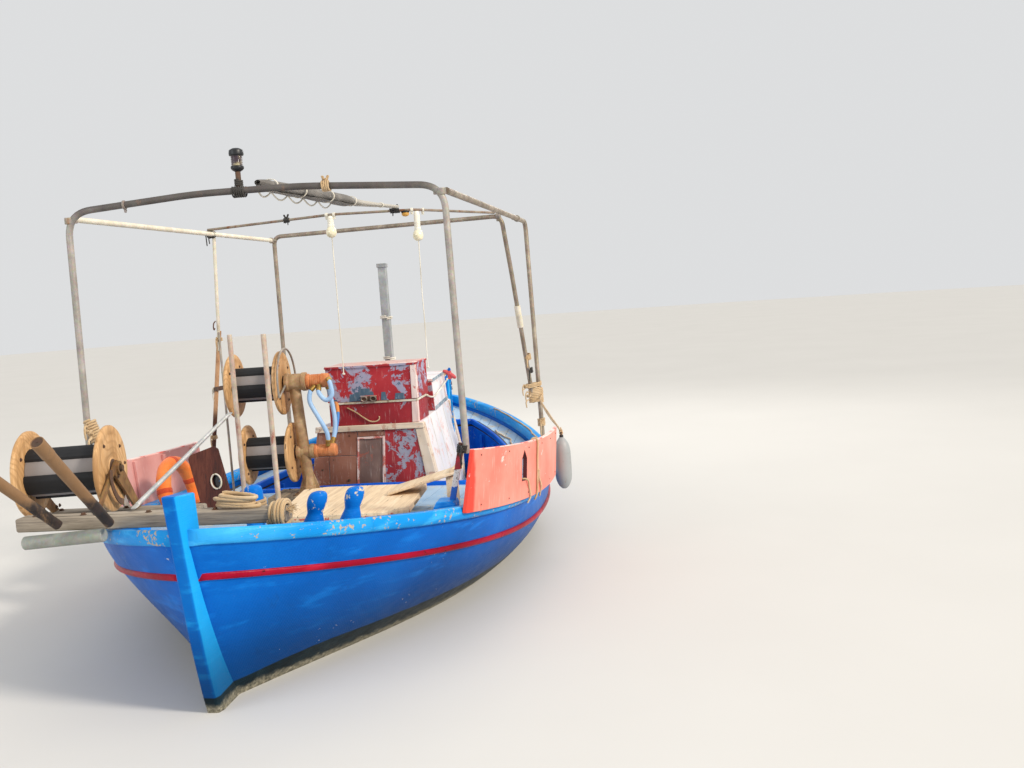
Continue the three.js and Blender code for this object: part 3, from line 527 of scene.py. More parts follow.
# Worn paint on wood: coats that flake one under another, scratches along the grain, a chipped rim
def flaked(name, tones, grain=(2, 3, 0.4), amount=(0.5, 0.62), seed=0.0, stain=0.2, topTone=None, foreRed=None):
    f = Finish(name, 0.68)
    shift = (seed, seed * 0.7, seed * 1.3)
    tones = tones.split()
    base, under, wood = tones[:3], tones[3:5], tones[5:]
    tone = f.noise(3.2, 5, where=f.stretched(shift=shift))
    colour = f.shades(tone, (0.3, base[0]), (0.55, base[1]), (0.8, base[2]))
    streak = f.noise(24, 5, 0.6, where=f.stretched(grain, shift=shift))
    colour = f.blend(f.times(f.step(streak, 0.55, 0.75), 0.22), colour, "#f0e8e0")
    patches = f.noise(7, 8, 0.72, where=f.stretched(shift=shift), warp=0.4)
    worn = f.step(patches, amount[0], amount[0] + 0.018)
    pale = f.blend(f.noise(40, 4), under[0], under[1])
    colour = f.blend(worn, colour, pale)
    bare = f.step(patches, amount[1], amount[1] + 0.015)
    woodTone = f.blend(f.noise(60, 5, where=f.stretched(grain)), wood[0], wood[1])
    colour = f.blend(bare, colour, woodTone)
    dirt = f.noise(5, 6, 0.7, where=f.stretched((1, 1, 0.5), shift=shift))
    colour = f.blend(f.times(f.step(dirt, 0.55, 0.8), stain), colour, "#4a3c34")
    if foreRed:
        ahead = f.sum(f.axis("X"), f.wander(9, 4, 0.05))
        reddened = f.times(f.step(ahead, foreRed[0], foreRed[0] + 0.03), f.rest(worn))
        colour = f.blend(reddened, colour, foreRed[1])
    if topTone:
        colour = f.blend(f.times(f.step(f.upward(), 0.6, 0.9), 0.75), colour, topTone)
    f.relief(f.rest(worn), 0.0014, 0.7)
    f.relief(f.rest(bare), 0.001, 0.5)
    f.relief(streak, 0.002, 0.4)
    f.relief(f.noise(150, 3), 0.0005, 0.5)
    f.rough(f.noise(20, 4), 0.56, 0.8)
    return f.done(colour)


# Bare weathered wood with grain along one axis
def wooden(name, tones, along, roughness=0.82, blots="#5a4a3c", rings=0.0):
    f = Finish(name, roughness)
    dark, middle, pale = tones.split()
    stretch = {"X": (0.06, 1, 1), "Y": (1, 0.06, 1), "Z": (1, 1, 0.06)}[along]
    grain = f.noise(70, 6, 0.65, where=f.stretched(stretch), warp=0.6)
    broad = f.noise(9, 4, where=f.stretched(stretch))
    colour = f.shades(f.times(f.sum(grain, broad), 0.5), (0.36, dark), (0.5, middle), (0.66, pale))
    cracks = f.step(f.noise(38, 3, 0.5, where=f.stretched(stretch, shift=(3, 1, 2))), 0.66, 0.7)
    colour = f.blend(f.times(cracks, 0.75), colour, "#2e2822")
    colour = f.blend(f.times(f.step(f.noise(6, 5, 0.7), 0.56, 0.75), 0.4), colour, blots)
    if rings:
        contour = f.reckoned("SINE", f.times(f.noise(3.0, 1.0), rings))
        colour = f.blend(f.times(f.step(contour, 0.1, 0.9), 0.5), colour, dark)
    f.relief(grain, 0.003, 0.6)
    f.relief(f.rest(cracks), 0.002, 0.7)
    f.rough(broad, roughness - 0.12, roughness + 0.1)
    return f.done(colour)


# Metal with rust blooms over zinc, paint or plain steel
def metal(name, tones, rustAmount, roughness, metallic, rust="#4a3226 #7a5440", scale=1.0, change=None):
    f = Finish(name, roughness, metallic)
    tones, rust = tones.split(), rust.split()
    spangle = f.node("TexVoronoi", Vector=f.place, Scale=90 * scale).outputs["Color"]
    tone = f.noise(12 * scale, 4)
    colour = f.shades(tone, (0.3, tones[0]), (0.55, tones[1]), (0.78, tones[2]))
    colour = f.blend(0.08, colour, spangle, "OVERLAY")
    # Above a height the colour turns to another tone: painted shade on the arch's top bar, painted sunlight on the
    # guide poles, a paler tan on the lower mid post
    if change:
        level = f.sum(f.axis("Z"), f.wander(18, 4, 0.05))
        colour = f.blend(f.times(f.step(level, change[0], change[1]), 0.85), colour, change[2])
    bloom = f.noise(14 * scale, 8, 0.75, where=f.stretched((1, 1, 0.45)), warp=0.3)
    rusted = f.step(bloom, rustAmount, rustAmount + 0.05)
    rustTone = f.blend(f.noise(90 * scale, 4), rust[0], rust[1])
    colour = f.blend(rusted, colour, rustTone)
    colour = f.blend(f.times(f.step(bloom, rustAmount - 0.1, rustAmount + 0.02), 0.35), colour, rust[1])
    f.relief(f.times(rusted, f.noise(220 * scale, 3)), 0.0012, 0.6)
    f.relief(f.noise(60 * scale, 4), 0.0006, 0.5)
    f.rough(f.sum(rusted, f.noise(25, 3)), roughness - 0.1, roughness + 0.42)
    return f.done(colour)


# A plain moulded, cast or rubber skin with scuffs
def moulded(name, base, scuff, roughness=0.5, amount=0.62, grain=180.0, metallic=0.0, dust="#a8a49a"):
    f = Finish(name, roughness, metallic)
    colour = f.blend(f.noise(6, 4), base, scuff)
    marks = f.step(f.noise(34, 7, 0.7, where=f.stretched((1, 1, 0.4))), amount, amount + 0.04)
    colour = f.blend(f.times(marks, 0.6), colour, dust)
    f.relief(f.noise(grain, 3), 0.0006, 0.6)
    f.relief(f.noise(grain / 9, 4), 0.0018, 0.35)
    f.rough(f.noise(15, 4), roughness - 0.12, roughness + 0.15)
    return f.done(colour)


# Woven cloth or yarn: fine crossed threads, stains and sun bleaching
def woven(name, tones, thread, roughness=0.92, stain=0.3, astern=None):
    f = Finish(name, roughness, sheen=0.2)
    base, shade, pale = tones.split()
    colour = f.shades(f.noise(5, 5), (0.3, shade), (0.52, base), (0.75, pale))
    threads = f.times(f.waves(thread, 0.4, direction="DIAGONAL"), f.waves(thread * 0.9, 0.4, direction="Z"))
    colour = f.blend(f.times(threads, 0.25), colour, shade)
    colour = f.blend(f.times(f.step(f.noise(9, 6, 0.7), 0.58, 0.75), stain), colour, "#4c463e")
    if astern:
        colour = f.blend(f.rest(f.step(f.axis("X"), astern[0], astern[1])), colour, astern[2])
    f.relief(threads, 0.0009, 0.6)
    f.relief(f.noise(28, 5), 0.004, 0.5)
    return f.done(colour)


# Lamp glass, opaque, under a clear coat
def glassy(name, tint, roughness):
    f = Finish(name, roughness, coat=0.6, coatRoughness=0.05)
    colour = f.blend(f.step(f.noise(24, 5), 0.5, 0.75), tint, "#b9ad86")
    f.relief(f.noise(40, 3), 0.0006, 0.3)
    return f.done(colour)


# bottom=True adds the dark bottom paint and painted shade on the blue low down
azure = gloss("AzureHull", "#0060be #0052a4 #0a74d2", chips=0.72, bottom=True, plankRows=1.15)
railPaint = gloss("RailBlue", "#1690de #0878ca #46b4f2", chip="#b7a893", chips=0.6, roughness=0.3)
# The stem's port side is painted paler blue as sunlit, and its lower part carries painted shade
stemPaint = gloss("StemBlue", "#0266c0 #0056ac #168ada", chip="#a9c6dc", chips=0.7, bottom=True, paintedPortLight="#20aef0")
bittPaint = gloss("BittBlue", "#0468c4 #0458ac #1c88e0", chip="#cfc6b0", chips=0.64)
liningPaint = gloss("LiningBlue", "#0a58c8 #0748ae #126ad6", chip="#7d96ae", chips=0.68)
strakePaint = gloss("StrakeRed", "#98082a #760618 #b41c38", chip="#4b1216", chips=0.66, roughness=0.28)
keelPaint = gloss("BottomDark", "#151b20 #0d1216 #2b3335", chip="#59605a", chips=0.6, roughness=0.75)
deckPaint = flaked("DeckBlue", "#86a9c9 #9bb9d4 #b4cbdd #c9cfcf #a9aaa2 #8a7e6e #a8997f", amount=(0.55, 0.66),
                   stain=0.3, grain=(0.2, 3, 1))
caulk = moulded("DarkCaulk", "#22272b", "#33383a", 0.9)
boardPaint = flaked("BoardSalmon", "#d48e86 #dea29a #e8b6b0 #f0d6d0 #f4e4e0 #b87a68 #d8b0a4", amount=(0.64, 0.72),
                    grain=(3, 1, 0.35), stain=0.1)
boardEdge = flaked("BoardEdgeRed", "#d5202b #e02f37 #ec5a58 #f6dcd8 #fbeeea #8f1a1e #b03030", amount=(0.5, 0.66),
                   seed=2.0, stain=0.1)
boxPaint = flaked("BoxRed", "#841420 #9c1c28 #b03036 #a8a8b8 #8a90a4 #6a5248 #84604e", amount=(0.585, 0.64),
                  seed=1.0, stain=0.4)
sidePaint = flaked("CasingSide", "#d6d8e0 #e4e0e2 #efe9e6 #e8cdc8 #dab4ae #a8aebc #b8685a", amount=(0.57, 0.68),
                   seed=3.0, stain=0.1)
plankPaint = flaked("CasingPlank", "#744636 #94604c #b0806c #b09c90 #a46c56 #6d4a3c #b87850", amount=(0.58, 0.66),
                    seed=5.0, stain=0.3)
patchPaint = flaked("PatchGrey", "#584440 #7a6058 #9a8074 #a8685a #8c5044 #b7a79b #6d5a50", amount=(0.55, 0.64),
                    seed=6.0, stain=0.3)
trimPaint = flaked("PinkTrim", "#d7b3ac #e6cfc8 #efe2dc #c05a50 #d48478 #8f98a8 #b3a89c", amount=(0.52, 0.62),
                   seed=7.0)
ledgePaint = flaked("LedgeBeige", "#ccb89e #ddccb8 #e9ded0 #c09880 #d0b09c #8a6a50 #a08264", amount=(0.56, 0.66),
                    seed=8.0)
beamWood = wooden("BeamGrey", "#665c54 #948878 #b8ac9c", "Y", blots="#4c5a70")
postWood = wooden("PadGrey", "#6c5f50 #96866f #b8a88c", "X")
hatchWood = wooden("HatchTan", "#c8ae90 #e4cba8 #f2e0c6", "X", blots="#c09078")
ringWood = wooden("DiscTan", "#a87c4c #c99c68 #e0b888", "Z", roughness=0.6, blots="#a87444", rings=110.0)
brownWood = wooden("PanelBrown", "#3a1c14 #582a1e #74402e", "Z", blots="#8a3a2c")
rubber = moulded("BlackRubber", "#08090c", "#121318", 0.7, amount=0.66, dust="#3c3a3c")
greyBand = moulded("GreyBand", "#787270", "#948e8c", 0.6, amount=0.62, dust="#8c5f48")
ochre = metal("OchrePaint", "#86684a #ac8c66 #cbb08c", 0.62, 0.5, 0.1, "#6b4a2c #8a6640", scale=1.3)
orangeTape = metal("OrangeRust", "#b4693c #cc8250 #e0a076", 0.55, 0.6, 0.05, "#9c5430 #c87440", scale=1.6)
zinc = metal("GalvanizedPipe", "#897c6e #a29585 #c2b5a4", 0.66, 0.42, 0.7)
wornZinc = metal("WornPipe", "#8c8680 #a49c90 #c0b7a6", 0.6, 0.5, 0.45, "#7d5a40 #b08a66")
rustyPipe = metal("RustyPipe", "#786c60 #928678 #ac9f8f", 0.56, 0.62, 0.25, "#6a4430 #8e6244")
aluminium = metal("BareAluminium", "#b3b4b3 #cfcfcc #e2e1dc", 0.74, 0.38, 0.8)
rustySteel = metal("RustySteel", "#4a3a30 #60493a #7a6048", 0.55, 0.62, 0.3)
# The guide poles' dark brown, with a tan upper part above about 1 m painted as sunlit
poleBrownLitTop = metal("PoleBrownLitTop", "#241e1c #322824 #44362c", 0.6, 0.5, 0.1, "#6c5440 #8f7050",
                  change=(0.97, 1.01, "#8f6c48"))
bracketTan = metal("BracketTan", "#6b4c2c #8c683e #ab8454", 0.6, 0.55, 0.15, "#4a3020 #6e4a30")
midRust = metal("MidPostRust", "#4e3024 #64402e #80543c", 0.6, 0.6, 0.15, "#5a3424 #8a5a3c",
                change=(0.98, 1.1, "#d0a47c"))
brass = metal("DullBrass", "#7d6230 #a8884a #c2a564", 0.72, 0.4, 0.85, "#3c5a48 #5d7a62")
engineIron = moulded("EngineGrey", "#4a4f55", "#5c6268", 0.6, metallic=0.3)
blackShell = moulded("BlackShell", "#101113", "#1e2023", 0.4, dust="#6f6b64")
hoseSkin = moulded("HoseBlue", "#86b0dc", "#aecbe8", 0.42, amount=0.66, dust="#6a8eb8", grain=90)
orangeSleeve = moulded("HoseOrange", "#d8823c", "#e39a58", 0.5)
fenderSkin = moulded("FenderVinyl", "#94989a", "#a4a8a8", 0.45, amount=0.6, dust="#8a7a70", grain=60)
buoyCloth = woven("BuoyOrange", "#ff8424 #ff6a10 #ffa04c", 300, 0.6, 0.08)
whitePlastic = moulded("WhitePlastic", "#e4e0d4", "#d2ccba", 0.4, dust="#8a8272")
redPaint = moulded("RedPlastic", "#c9414a", "#d95f60", 0.55, dust="#f0d0cc")
canvas = woven("AwningCanvas", "#6f6a64 #57524d #8c867f", 380, astern=(0.2, 0.42, "#b9b4aa"))
whiteCord = woven("WhiteCord", "#e9e3d4 #cfc6b2 #f6f2e8", 900, 0.85, 0.12)
beigeRope = woven("BeigeRope", "#c9ab82 #a5855c #e0c8a4", 700, 0.92, 0.25)
darkCordage = woven("DarkLashing", "#2c2926 #191816 #4c4740", 700, 0.9, 0.2)
bulbGlass = glassy("BulbGlass", "#f2e8c8", 0.16)
lampGlass = glassy("RedLens", "#3a2a34", 0.08)
amberGlass = glassy("AmberLens", "#d19a3c", 0.15)
holderCeramic = moulded("HolderWhite", "#e6e0ce", "#f0ebdd", 0.35, dust="#a89c80")
print("finishes ready:", len(bpy.data.materials))


# The camera stands ahead of the port bow, a little above a seated person's eyes, and leans with the boat's list
cameraPose = {
    "place": (6.6901, 1.9805, 1.7664), "aim": (-0.98654, -0.13405, -0.09369), "leanDegrees": 3.99,
    "lens": 35.12, "sensor": 36.0,
}


def setCamera(pose):
    data = bpy.data.cameras.new("Camera")
    data.lens, data.sensor_width = pose["lens"], pose["sensor"]
    data.clip_end = 200
    camera = bpy.data.objects.new("Camera", data)
    bpy.context.scene.collection.objects.link(camera)
    aim = Vector(pose["aim"]).normalized()
    level = aim.cross(Vector((0, 0, 1))).normalized()
    lean = math.radians(pose["leanDegrees"])
    right = math.cos(lean) * level + math.sin(lean) * aim.cross(level)
    upward = right.cross(aim)
    camera.matrix_world = Matrix.Translation(pose["place"]) @ Matrix((right, upward, -aim)).transposed().to_4x4()
    bpy.context.scene.camera = camera


setCamera(cameraPose)

# Two thin cords hang from the lamp holders, each ending in a knot
hangingLines = {
    "line_stbd": [(-0.002, -0.1, 2.207), (-0.002, -0.099, 2.05), (0.001, -0.097, 1.85), (-0.002, -0.099, 1.6),
                  (0.0, -0.098, 1.4), (0.0, -0.098, 1.262)],
    "line_port": [(-0.148, 0.47, 2.149), (-0.148, 0.469, 2.0), (-0.146, 0.467, 1.8), (-0.148, 0.469, 1.6),
                  (-0.147, 0.468, 1.42), (-0.147, 0.468, 1.262)],
}
lineRadius = 0.004


# An overhand knot: a trefoil path squeezed to a small ball
def knotShape(place, size, radius):
    a = np.linspace(0, 2 * np.pi, 61)[:-1, None]
    path = np.concatenate([np.sin(a) + 2 * np.sin(2 * a), np.cos(a) - 2 * np.cos(2 * a), -1.4 * np.sin(3 * a)], 1)
    return sweptShape(np.asarray(place) + path * size / 3, circle(radius, 8), (0.2, 0.3, 1), closed=True)


for lineName, route in hangingLines.items():
    linePath = smoothThrough(route, 220)
    line = makePiece(lineName + "Cord", [ropeShape(linePath, lineRadius, 12, (1, 0.2, 0))], whiteCord,
                     replaced=[lineName])
    knotPlace = linePath[-1] + np.array([0, 0, 0.006])
    knot = makePiece(lineName + "Knot", [knotShape(knotPlace, 0.008, 0.0034)], whiteCord)
print("camera and hanging cords placed")

studio = {
    "floorReach": 60.0, "floorTone": "#cfcdc9", "skyTone": (0.93, 0.94, 0.95, 1.0), "skyStrength": 0.78,
    # each light: place, aim, width, power, warm or cool colour
    "lights": [
        ((5.5, 6.5, 6.5), (0.4, 0.0, 0.5), 3.0, 120, (1.0, 0.93, 0.84)),
        ((7.5, -5.0, 4.5), (0.6, 0.0, 0.6), 4.5, 150, (0.92, 0.96, 1.0)),
        ((-6.5, 2.5, 6.0), (-0.5, 0.0, 0.8), 4.0, 160, (1.0, 0.97, 0.93)),
    ],
    "sun": {"from": (0.3, 0.79, 0.53), "strength": 2.5, "softness": 9.0, "tone": (1.0, 0.93, 0.82)},
}


def setStudio(plan):
    reach = plan["floorReach"]
    ring = circle(reach, 64)
    rings = np.concatenate([ring[None] * k for k in (1.0, 0.5, 0.2, 0.02)])
    grid = np.concatenate([rings, np.zeros((*rings.shape[:2], 1))], -1)
    mesh = bpy.data.meshes.new("Floor")
    middle = np.arange(64)[None] + 3 * 64
    faces = [list(face) for face in gridFaces(4, 64, False, True)[:, ::-1]] + [list(row) for row in middle]
    mesh.from_pydata(grid.reshape(-1, 3).tolist(), [], [[int(k) for k in face] for face in faces])
    f = Finish("FloorPale", 0.85, specular=0.1)
    mesh.materials.append(f.done(f.blend(f.noise(0.7, 3), plan["floorTone"], "#d6d4d0")))
    floor = bpy.data.objects.new("Floor", mesh)
    bpy.context.scene.collection.objects.link(floor)
    world = bpy.context.scene.world or bpy.data.worlds.new("World")
    bpy.context.scene.world = world
    world.use_nodes = True
    sky = world.node_tree.nodes["Background"]
    sky.inputs["Color"].default_value = plan["skyTone"]
    sky.inputs["Strength"].default_value = plan["skyStrength"]
    bpy.context.scene.view_settings.view_transform = "Standard"
    for number, (place, aim, width, power, tone) in enumerate(plan["lights"]):
        data = bpy.data.lights.new(f"Soft{number}", "AREA")
        data.shape, data.size, data.energy, data.color = "DISK", width, power, tone
        lamp = bpy.data.objects.new(f"Soft{number}", data)
        lamp.location = place
        lamp.rotation_euler = (Vector(aim) - Vector(place)).to_track_quat("-Z", "Y").to_euler()
        bpy.context.scene.collection.objects.link(lamp)
    sun = bpy.data.lights.new("Daylight", "SUN")
    sun.energy, sun.color = plan["sun"]["strength"], plan["sun"]["tone"]
    sun.angle = math.radians(plan["sun"]["softness"])
    lamp = bpy.data.objects.new("Daylight", sun)
    lamp.rotation_euler = Vector(plan["sun"]["from"]).to_track_quat("Z", "Y").to_euler()
    bpy.context.scene.collection.objects.link(lamp)


setStudio(studio)
print("studio set")

# Hull form in metres, the same as the solids'. Along the boat u runs from -1 at the sternpost to 1 at the stem,
# and up a section t runs from the keel line to the sheer
hull = {
    "half": 1.262, "midX": 0.045, "foreTop": 2.808, "aftTop": -3.06, "forefoot": 1.95, "heel": -2.79,
    "sheerLow": 0.482, "sheerBow": 0.826, "sheerStern": 0.747, "sheerLowX": -0.4, "keelLine": -0.42,
    "sheerForeX": 2.78, "sheerAftX": -3.09, "sternRise": 0.37, "sternRiseFrom": 0.25,
    "wall": 0.036, "rimDrop": 0.035, "reach": 0.994, "stations": 161, "levels": 42,
    "strakeBelowRim": 0.15, "railHalf": 0.035, "railRise": 0.037, "deckDrop": 0.072, "deckCrown": 0.018,
}


# How far along the boat: from amidships towards the raked stem or stern, in proportion to u
def rabbetX(u, t):
    stem = hull["forefoot"] + (hull["foreTop"] - hull["forefoot"]) * t**0.42
    stern = hull["heel"] + (hull["aftTop"] - hull["heel"]) * t
    return hull["midX"] + np.abs(u) * (np.where(u > 0, stem, stern) - hull["midX"])


# The sheer rises from its low point towards bow and stern with a power of the distance
def sheerHeight(x):
    ahead = np.clip((x - hull["sheerLowX"]) / (hull["sheerForeX"] - hull["sheerLowX"]), 0, 1)
    astern = np.clip((hull["sheerLowX"] - x) / (hull["sheerLowX"] - hull["sheerAftX"]), 0, 1)
    return (hull["sheerLow"] + (hull["sheerBow"] - hull["sheerLow"]) * ahead**1.9
            + (hull["sheerStern"] - hull["sheerLow"]) * astern**1.9)


def keelHeight(u):
    start = hull["sternRiseFrom"]
    return hull["keelLine"] + hull["sternRise"] * np.clip((-u - start) / (1 - start), 0, 1)**2


# Half breadth in plan: one minus a power of u, rounded by a root
def planHalf(u):
    size = np.abs(u)
    fore = np.maximum(1 - size**2.4, 0)**0.749
    aft = np.maximum(1 - size**2.24, 0)**0.821
    return hull["half"] * np.where(u > 0, fore, aft)


def halfAt(x):
    reach = np.where(x > hull["midX"], hull["foreTop"] - hull["midX"], hull["midX"] - hull["aftTop"])
    return planHalf((x - hull["midX"]) / reach)


# A section swells from the keel with a power of the height that gets flatter towards the ends
def hullSurface(u, t, grow=0.0):
    top = sheerHeight(rabbetX(u, 1.0)) - hull["rimDrop"]
    low = keelHeight(u)
    fullness = 2.3 - 1.4 * np.abs(u)**1.6
    spread = np.maximum(1 - np.maximum(1 - t, 0)**fullness, 0)**(1 + 0.2 * np.abs(u)**3)
    y = planHalf(u) * spread
    y = np.maximum(y + grow, 0.35 * y) if grow < 0 else y + grow
    return rabbetX(u, t), y, low + (top - low) * t


# Values from low to high, closer together towards both ends by a power
def spaced(count, low, high, ease=1.0):
    s = np.linspace(-1, 1, count)
    return low + (high - low) * (np.sign(s) * (1 - (1 - np.abs(s))**ease) + 1) / 2


# One ring round the boat's section at each station: down the outside, up the other side, then back along the inside
def planksShape():
    u = spaced(hull["stations"], -hull["reach"], hull["reach"], 1.35)[:, None]
    t = spaced(hull["levels"], 0, 1, 1.15)[None]
    sides = []
    for grow in (0.0, -hull["wall"]):
        x, y, z = (np.broadcast_to(a, (u.shape[0], t.shape[1])) for a in hullSurface(u, t, grow))
        starboard = np.stack([x, -y, z], -1)[:, ::-1]
        port = np.stack([x, y, z], -1)[:, 1:]
        sides.append(np.concatenate([starboard, port], 1))
    grid = np.concatenate([sides[0], sides[1][:, ::-1]], 1)
    rows, columns, _ = grid.shape
    k = np.arange(columns // 2 - 1)
    ladder = np.stack([k, k + 1, columns - 2 - k, columns - 1 - k], -1)
    faces = [gridFaces(rows, columns, False, True), ladder[:, ::-1], ladder + (rows - 1) * columns]
    return outward(grid.reshape(-1, 3), faces)


# The edge of the boat in plan at sheer height, with a section of [inset, lift] carried along it
def sheerSweep(side, section, low, high, stations, wobble=0.0, seed=0):
    u = spaced(stations, low, high, 1.35)[:, None]
    x = rabbetX(u, 1.0)
    inset, lift = section[None, :, 0], section[None, :, 1]
    worn = wobble * ripple(4 * u, seed)
    y = np.maximum(planHalf(u) - inset + worn, 0.001)
    z = sheerHeight(x) + lift + 0.6 * wobble * ripple(5 * u, seed + 3)
    return ringShape(np.stack(np.broadcast_arrays(x, side * y, z), -1))


# The half-round strake a hand below the rail
def strakeShape(side):
    angle = np.radians(np.linspace(-90, 90, 11))
    out = np.concatenate([0.019 * np.cos(angle), [-0.012, -0.012]])
    up = np.concatenate([0.017 * np.sin(angle), [0.017, -0.017]])
    u = spaced(150, -0.985, 0.993, 1.35)[:, None]
    height = sheerHeight(rabbetX(u, 1.0)) - hull["rimDrop"] - keelHeight(u)
    x, y, z = hullSurface(u, 1 - hull["strakeBelowRim"] / height)
    return ringShape(np.stack(np.broadcast_arrays(x, side * (y + out[None]), z + up[None]), -1))


# An upright timber between a fore and an aft edge given as [x, z] curves, thinned towards its outer face
def postShape(outer, inner, half, faceHalf, chamfer):
    outer, inner = (smoothThrough([(x, 0, z) for x, z in edge], 70) for edge in (outer, inner))
    inwards = unit(inner - outer)
    knee = outer + chamfer * inwards
    beside = np.array([0.0, 1.0, 0.0])
    ring = [outer - faceHalf * beside, outer + faceHalf * beside, knee + half * beside, inner + half * beside,
            inner - half * beside, knee - half * beside]
    return ringShape(np.stack(ring, 1))


def railSection():
    nose = np.radians(np.linspace(90, -90, 13))
    round_ = np.stack([-0.014 - 0.024 * np.cos(nose), hull["railHalf"] * np.sin(nose)], -1)
    inner = np.array([[0.044, -0.0348], [0.052, -0.028], [0.052, 0.026], [0.043, 0.035]])
    return np.concatenate([round_, inner])


makePiece("Planking", [planksShape()], azure, replaced=["hull_shell"], sharp=50)
makePiece("Strakes", [strakeShape(1), strakeShape(-1)], strakePaint, sharp=60)
for side, name in ((1, "port"), (-1, "stbd")):
    makePiece(f"Gunwale_{name}", [sheerSweep(side, railSection(), -0.992, 0.996, 170, 0.0012, side + 5)], railPaint,
              replaced=[f"rail_{name}"], sharp=50)
stemOuter = [(1.7, -0.539), (1.99, -0.538), (2.23, -0.47), (2.44, -0.31), (2.59, -0.13), (2.655, 0.01),
             (2.735, 0.3), (2.8, 0.62), (2.868, 1.018)]
stemInner = [(1.7, -0.43), (1.9, -0.4), (2.08, -0.33), (2.24, -0.18), (2.35, 0.0), (2.45, 0.16),
             (2.56, 0.42), (2.66, 0.7), (2.692, 1.0)]
makePiece("Stem", [postShape(stemOuter, stemInner, 0.038, 0.027, 0.034)], stemPaint,
          replaced=["stem_post"], bevel=0.007)
sternOuter = [(-2.86, -0.483), (-2.895, -0.25), (-2.93, 0.0), (-2.98, 0.25), (-3.02, 0.45), (-3.075, 0.72),
              (-3.12, 0.955)]
sternInner = [(-2.76, -0.483), (-2.757, -0.25), (-2.72, -0.05), (-2.7, 0.25), (-2.78, 0.45), (-2.92, 0.72),
              (-2.975, 0.955)]
makePiece("Sternpost", [postShape(sternOuter, sternInner, 0.04, 0.034, 0.02)], stemPaint,
          replaced=["stern_post"], bevel=0.004)
dressNode("keel", keelPaint, 0.004)
print("hull built")

well = {"fore": -0.15, "aft": -2.38, "sideDeck": 0.275, "lining": 0.022, "soleTop": 0.088}
planking = {"width": 0.104, "seam": 0.0035, "thickness": 0.006, "edgeInset": 0.056, "soleWidth": 0.118,
            "lap": 0.004, "soleSeam": 0.006, "soleThickness": 0.005}


# What stands on the deck starts this far above it, clear of the planks
deckSkin = 0.007


def deckHeight(x, y):
    return sheerHeight(x) - hull["deckDrop"] + hull["deckCrown"] * (1 - np.abs(y) / np.maximum(halfAt(x), 0.05))


# One plank: a sheet between two lines of y whose ends follow two curves of x, laid on a height
def plankShape(yLow, yHigh, xLow, xHigh, height, thickness, stations=28):
    s = np.linspace(0, 1, stations)[:, None]
    y = np.linspace(yLow, yHigh, 3)[None]
    x = xLow(y) + (xHigh(y) - xLow(y)) * s
    y = np.broadcast_to(y, x.shape)
    z = height(x, y)
    return slabShape(np.stack([x, y, z + thickness], -1), np.stack([x, y, z - 0.004], -1))


# The boat's half breadth read backwards: the x where the deck's edge or the well's edge has a given half breadth
foreRun = np.linspace(hull["midX"], 2.75, 300)
aftRun = np.linspace(hull["midX"], -3.02, 300)


def xWhere(y, run, inset):
    breadth = halfAt(run) - inset
    return np.interp(np.abs(y), breadth[::-1], run[::-1])


def deckPlanks():
    shapes = []
    width, seam, inset = planking["width"], planking["seam"], planking["edgeInset"]
    wellHalf = halfAt(np.array(well["fore"])) - well["sideDeck"]
    edges = np.arange(-11, 12) * width
    for low in edges:
        yLow, yHigh = low + seam / 2, low + width - seam / 2
        outer = max(abs(yLow), abs(yHigh))
        if outer > hull["half"] - inset - 0.01:
            continue
        foreEnd = lambda y: xWhere(y, foreRun, inset)
        aftEnd = lambda y: xWhere(y, aftRun, inset)
        if min(abs(yLow), abs(yHigh)) > wellHalf:
            shapes.append(plankShape(yLow, yHigh, aftEnd, foreEnd, deckHeight, planking["thickness"], 60))
            continue
        foreStart = lambda y: np.full_like(y, well["fore"] + planking["lap"])
        wellEdge = lambda y: np.where(np.abs(y) < 0.35, well["aft"] - planking["lap"],
                                      xWhere(y, aftRun, well["sideDeck"] - planking["lap"]))
        shapes.append(plankShape(yLow, yHigh, foreStart, foreEnd, deckHeight, planking["thickness"]))
        shapes.append(plankShape(yLow, yHigh, aftEnd, wellEdge, deckHeight, planking["thickness"]))
    return shapes


# Clear half breadth 12 mm inside the planking at a height, as x and y along the boat
def insideAt(z):
    u = np.linspace(-0.985, 0.3, 200)
    top = sheerHeight(rabbetX(u, 1.0)) - hull["rimDrop"]
    x, y, _ = hullSurface(u, np.clip((z - keelHeight(u)) / (top - keelHeight(u)), 0, 1), -hull["wall"] - 0.012)
    return x, y


def solePlanks():
    shapes = []
    clearX, clearY = insideAt(well["soleTop"] - 0.008)
    for low in np.arange(-8, 8) * planking["soleWidth"]:
        yLow, yHigh = low + planking["soleSeam"] / 2, low + planking["soleWidth"] - planking["soleSeam"] / 2
        outer = max(abs(yLow), abs(yHigh))
        inset = well["sideDeck"] + well["lining"] + 0.002
        if outer > 0.9:
            continue
        inside = lambda y: np.interp(np.abs(y), clearY, clearX)
        aftEnd = lambda y: np.maximum(np.maximum(xWhere(y, aftRun, inset), inside(y)), well["aft"] + 0.03)
        foreEnd = lambda y: np.full_like(y, well["fore"] - 0.03)
        flat = lambda x, y: np.full_like(x, well["soleTop"])
        shapes.append(plankShape(yLow, yHigh, aftEnd, foreEnd, flat, planking["soleThickness"]))
    return shapes


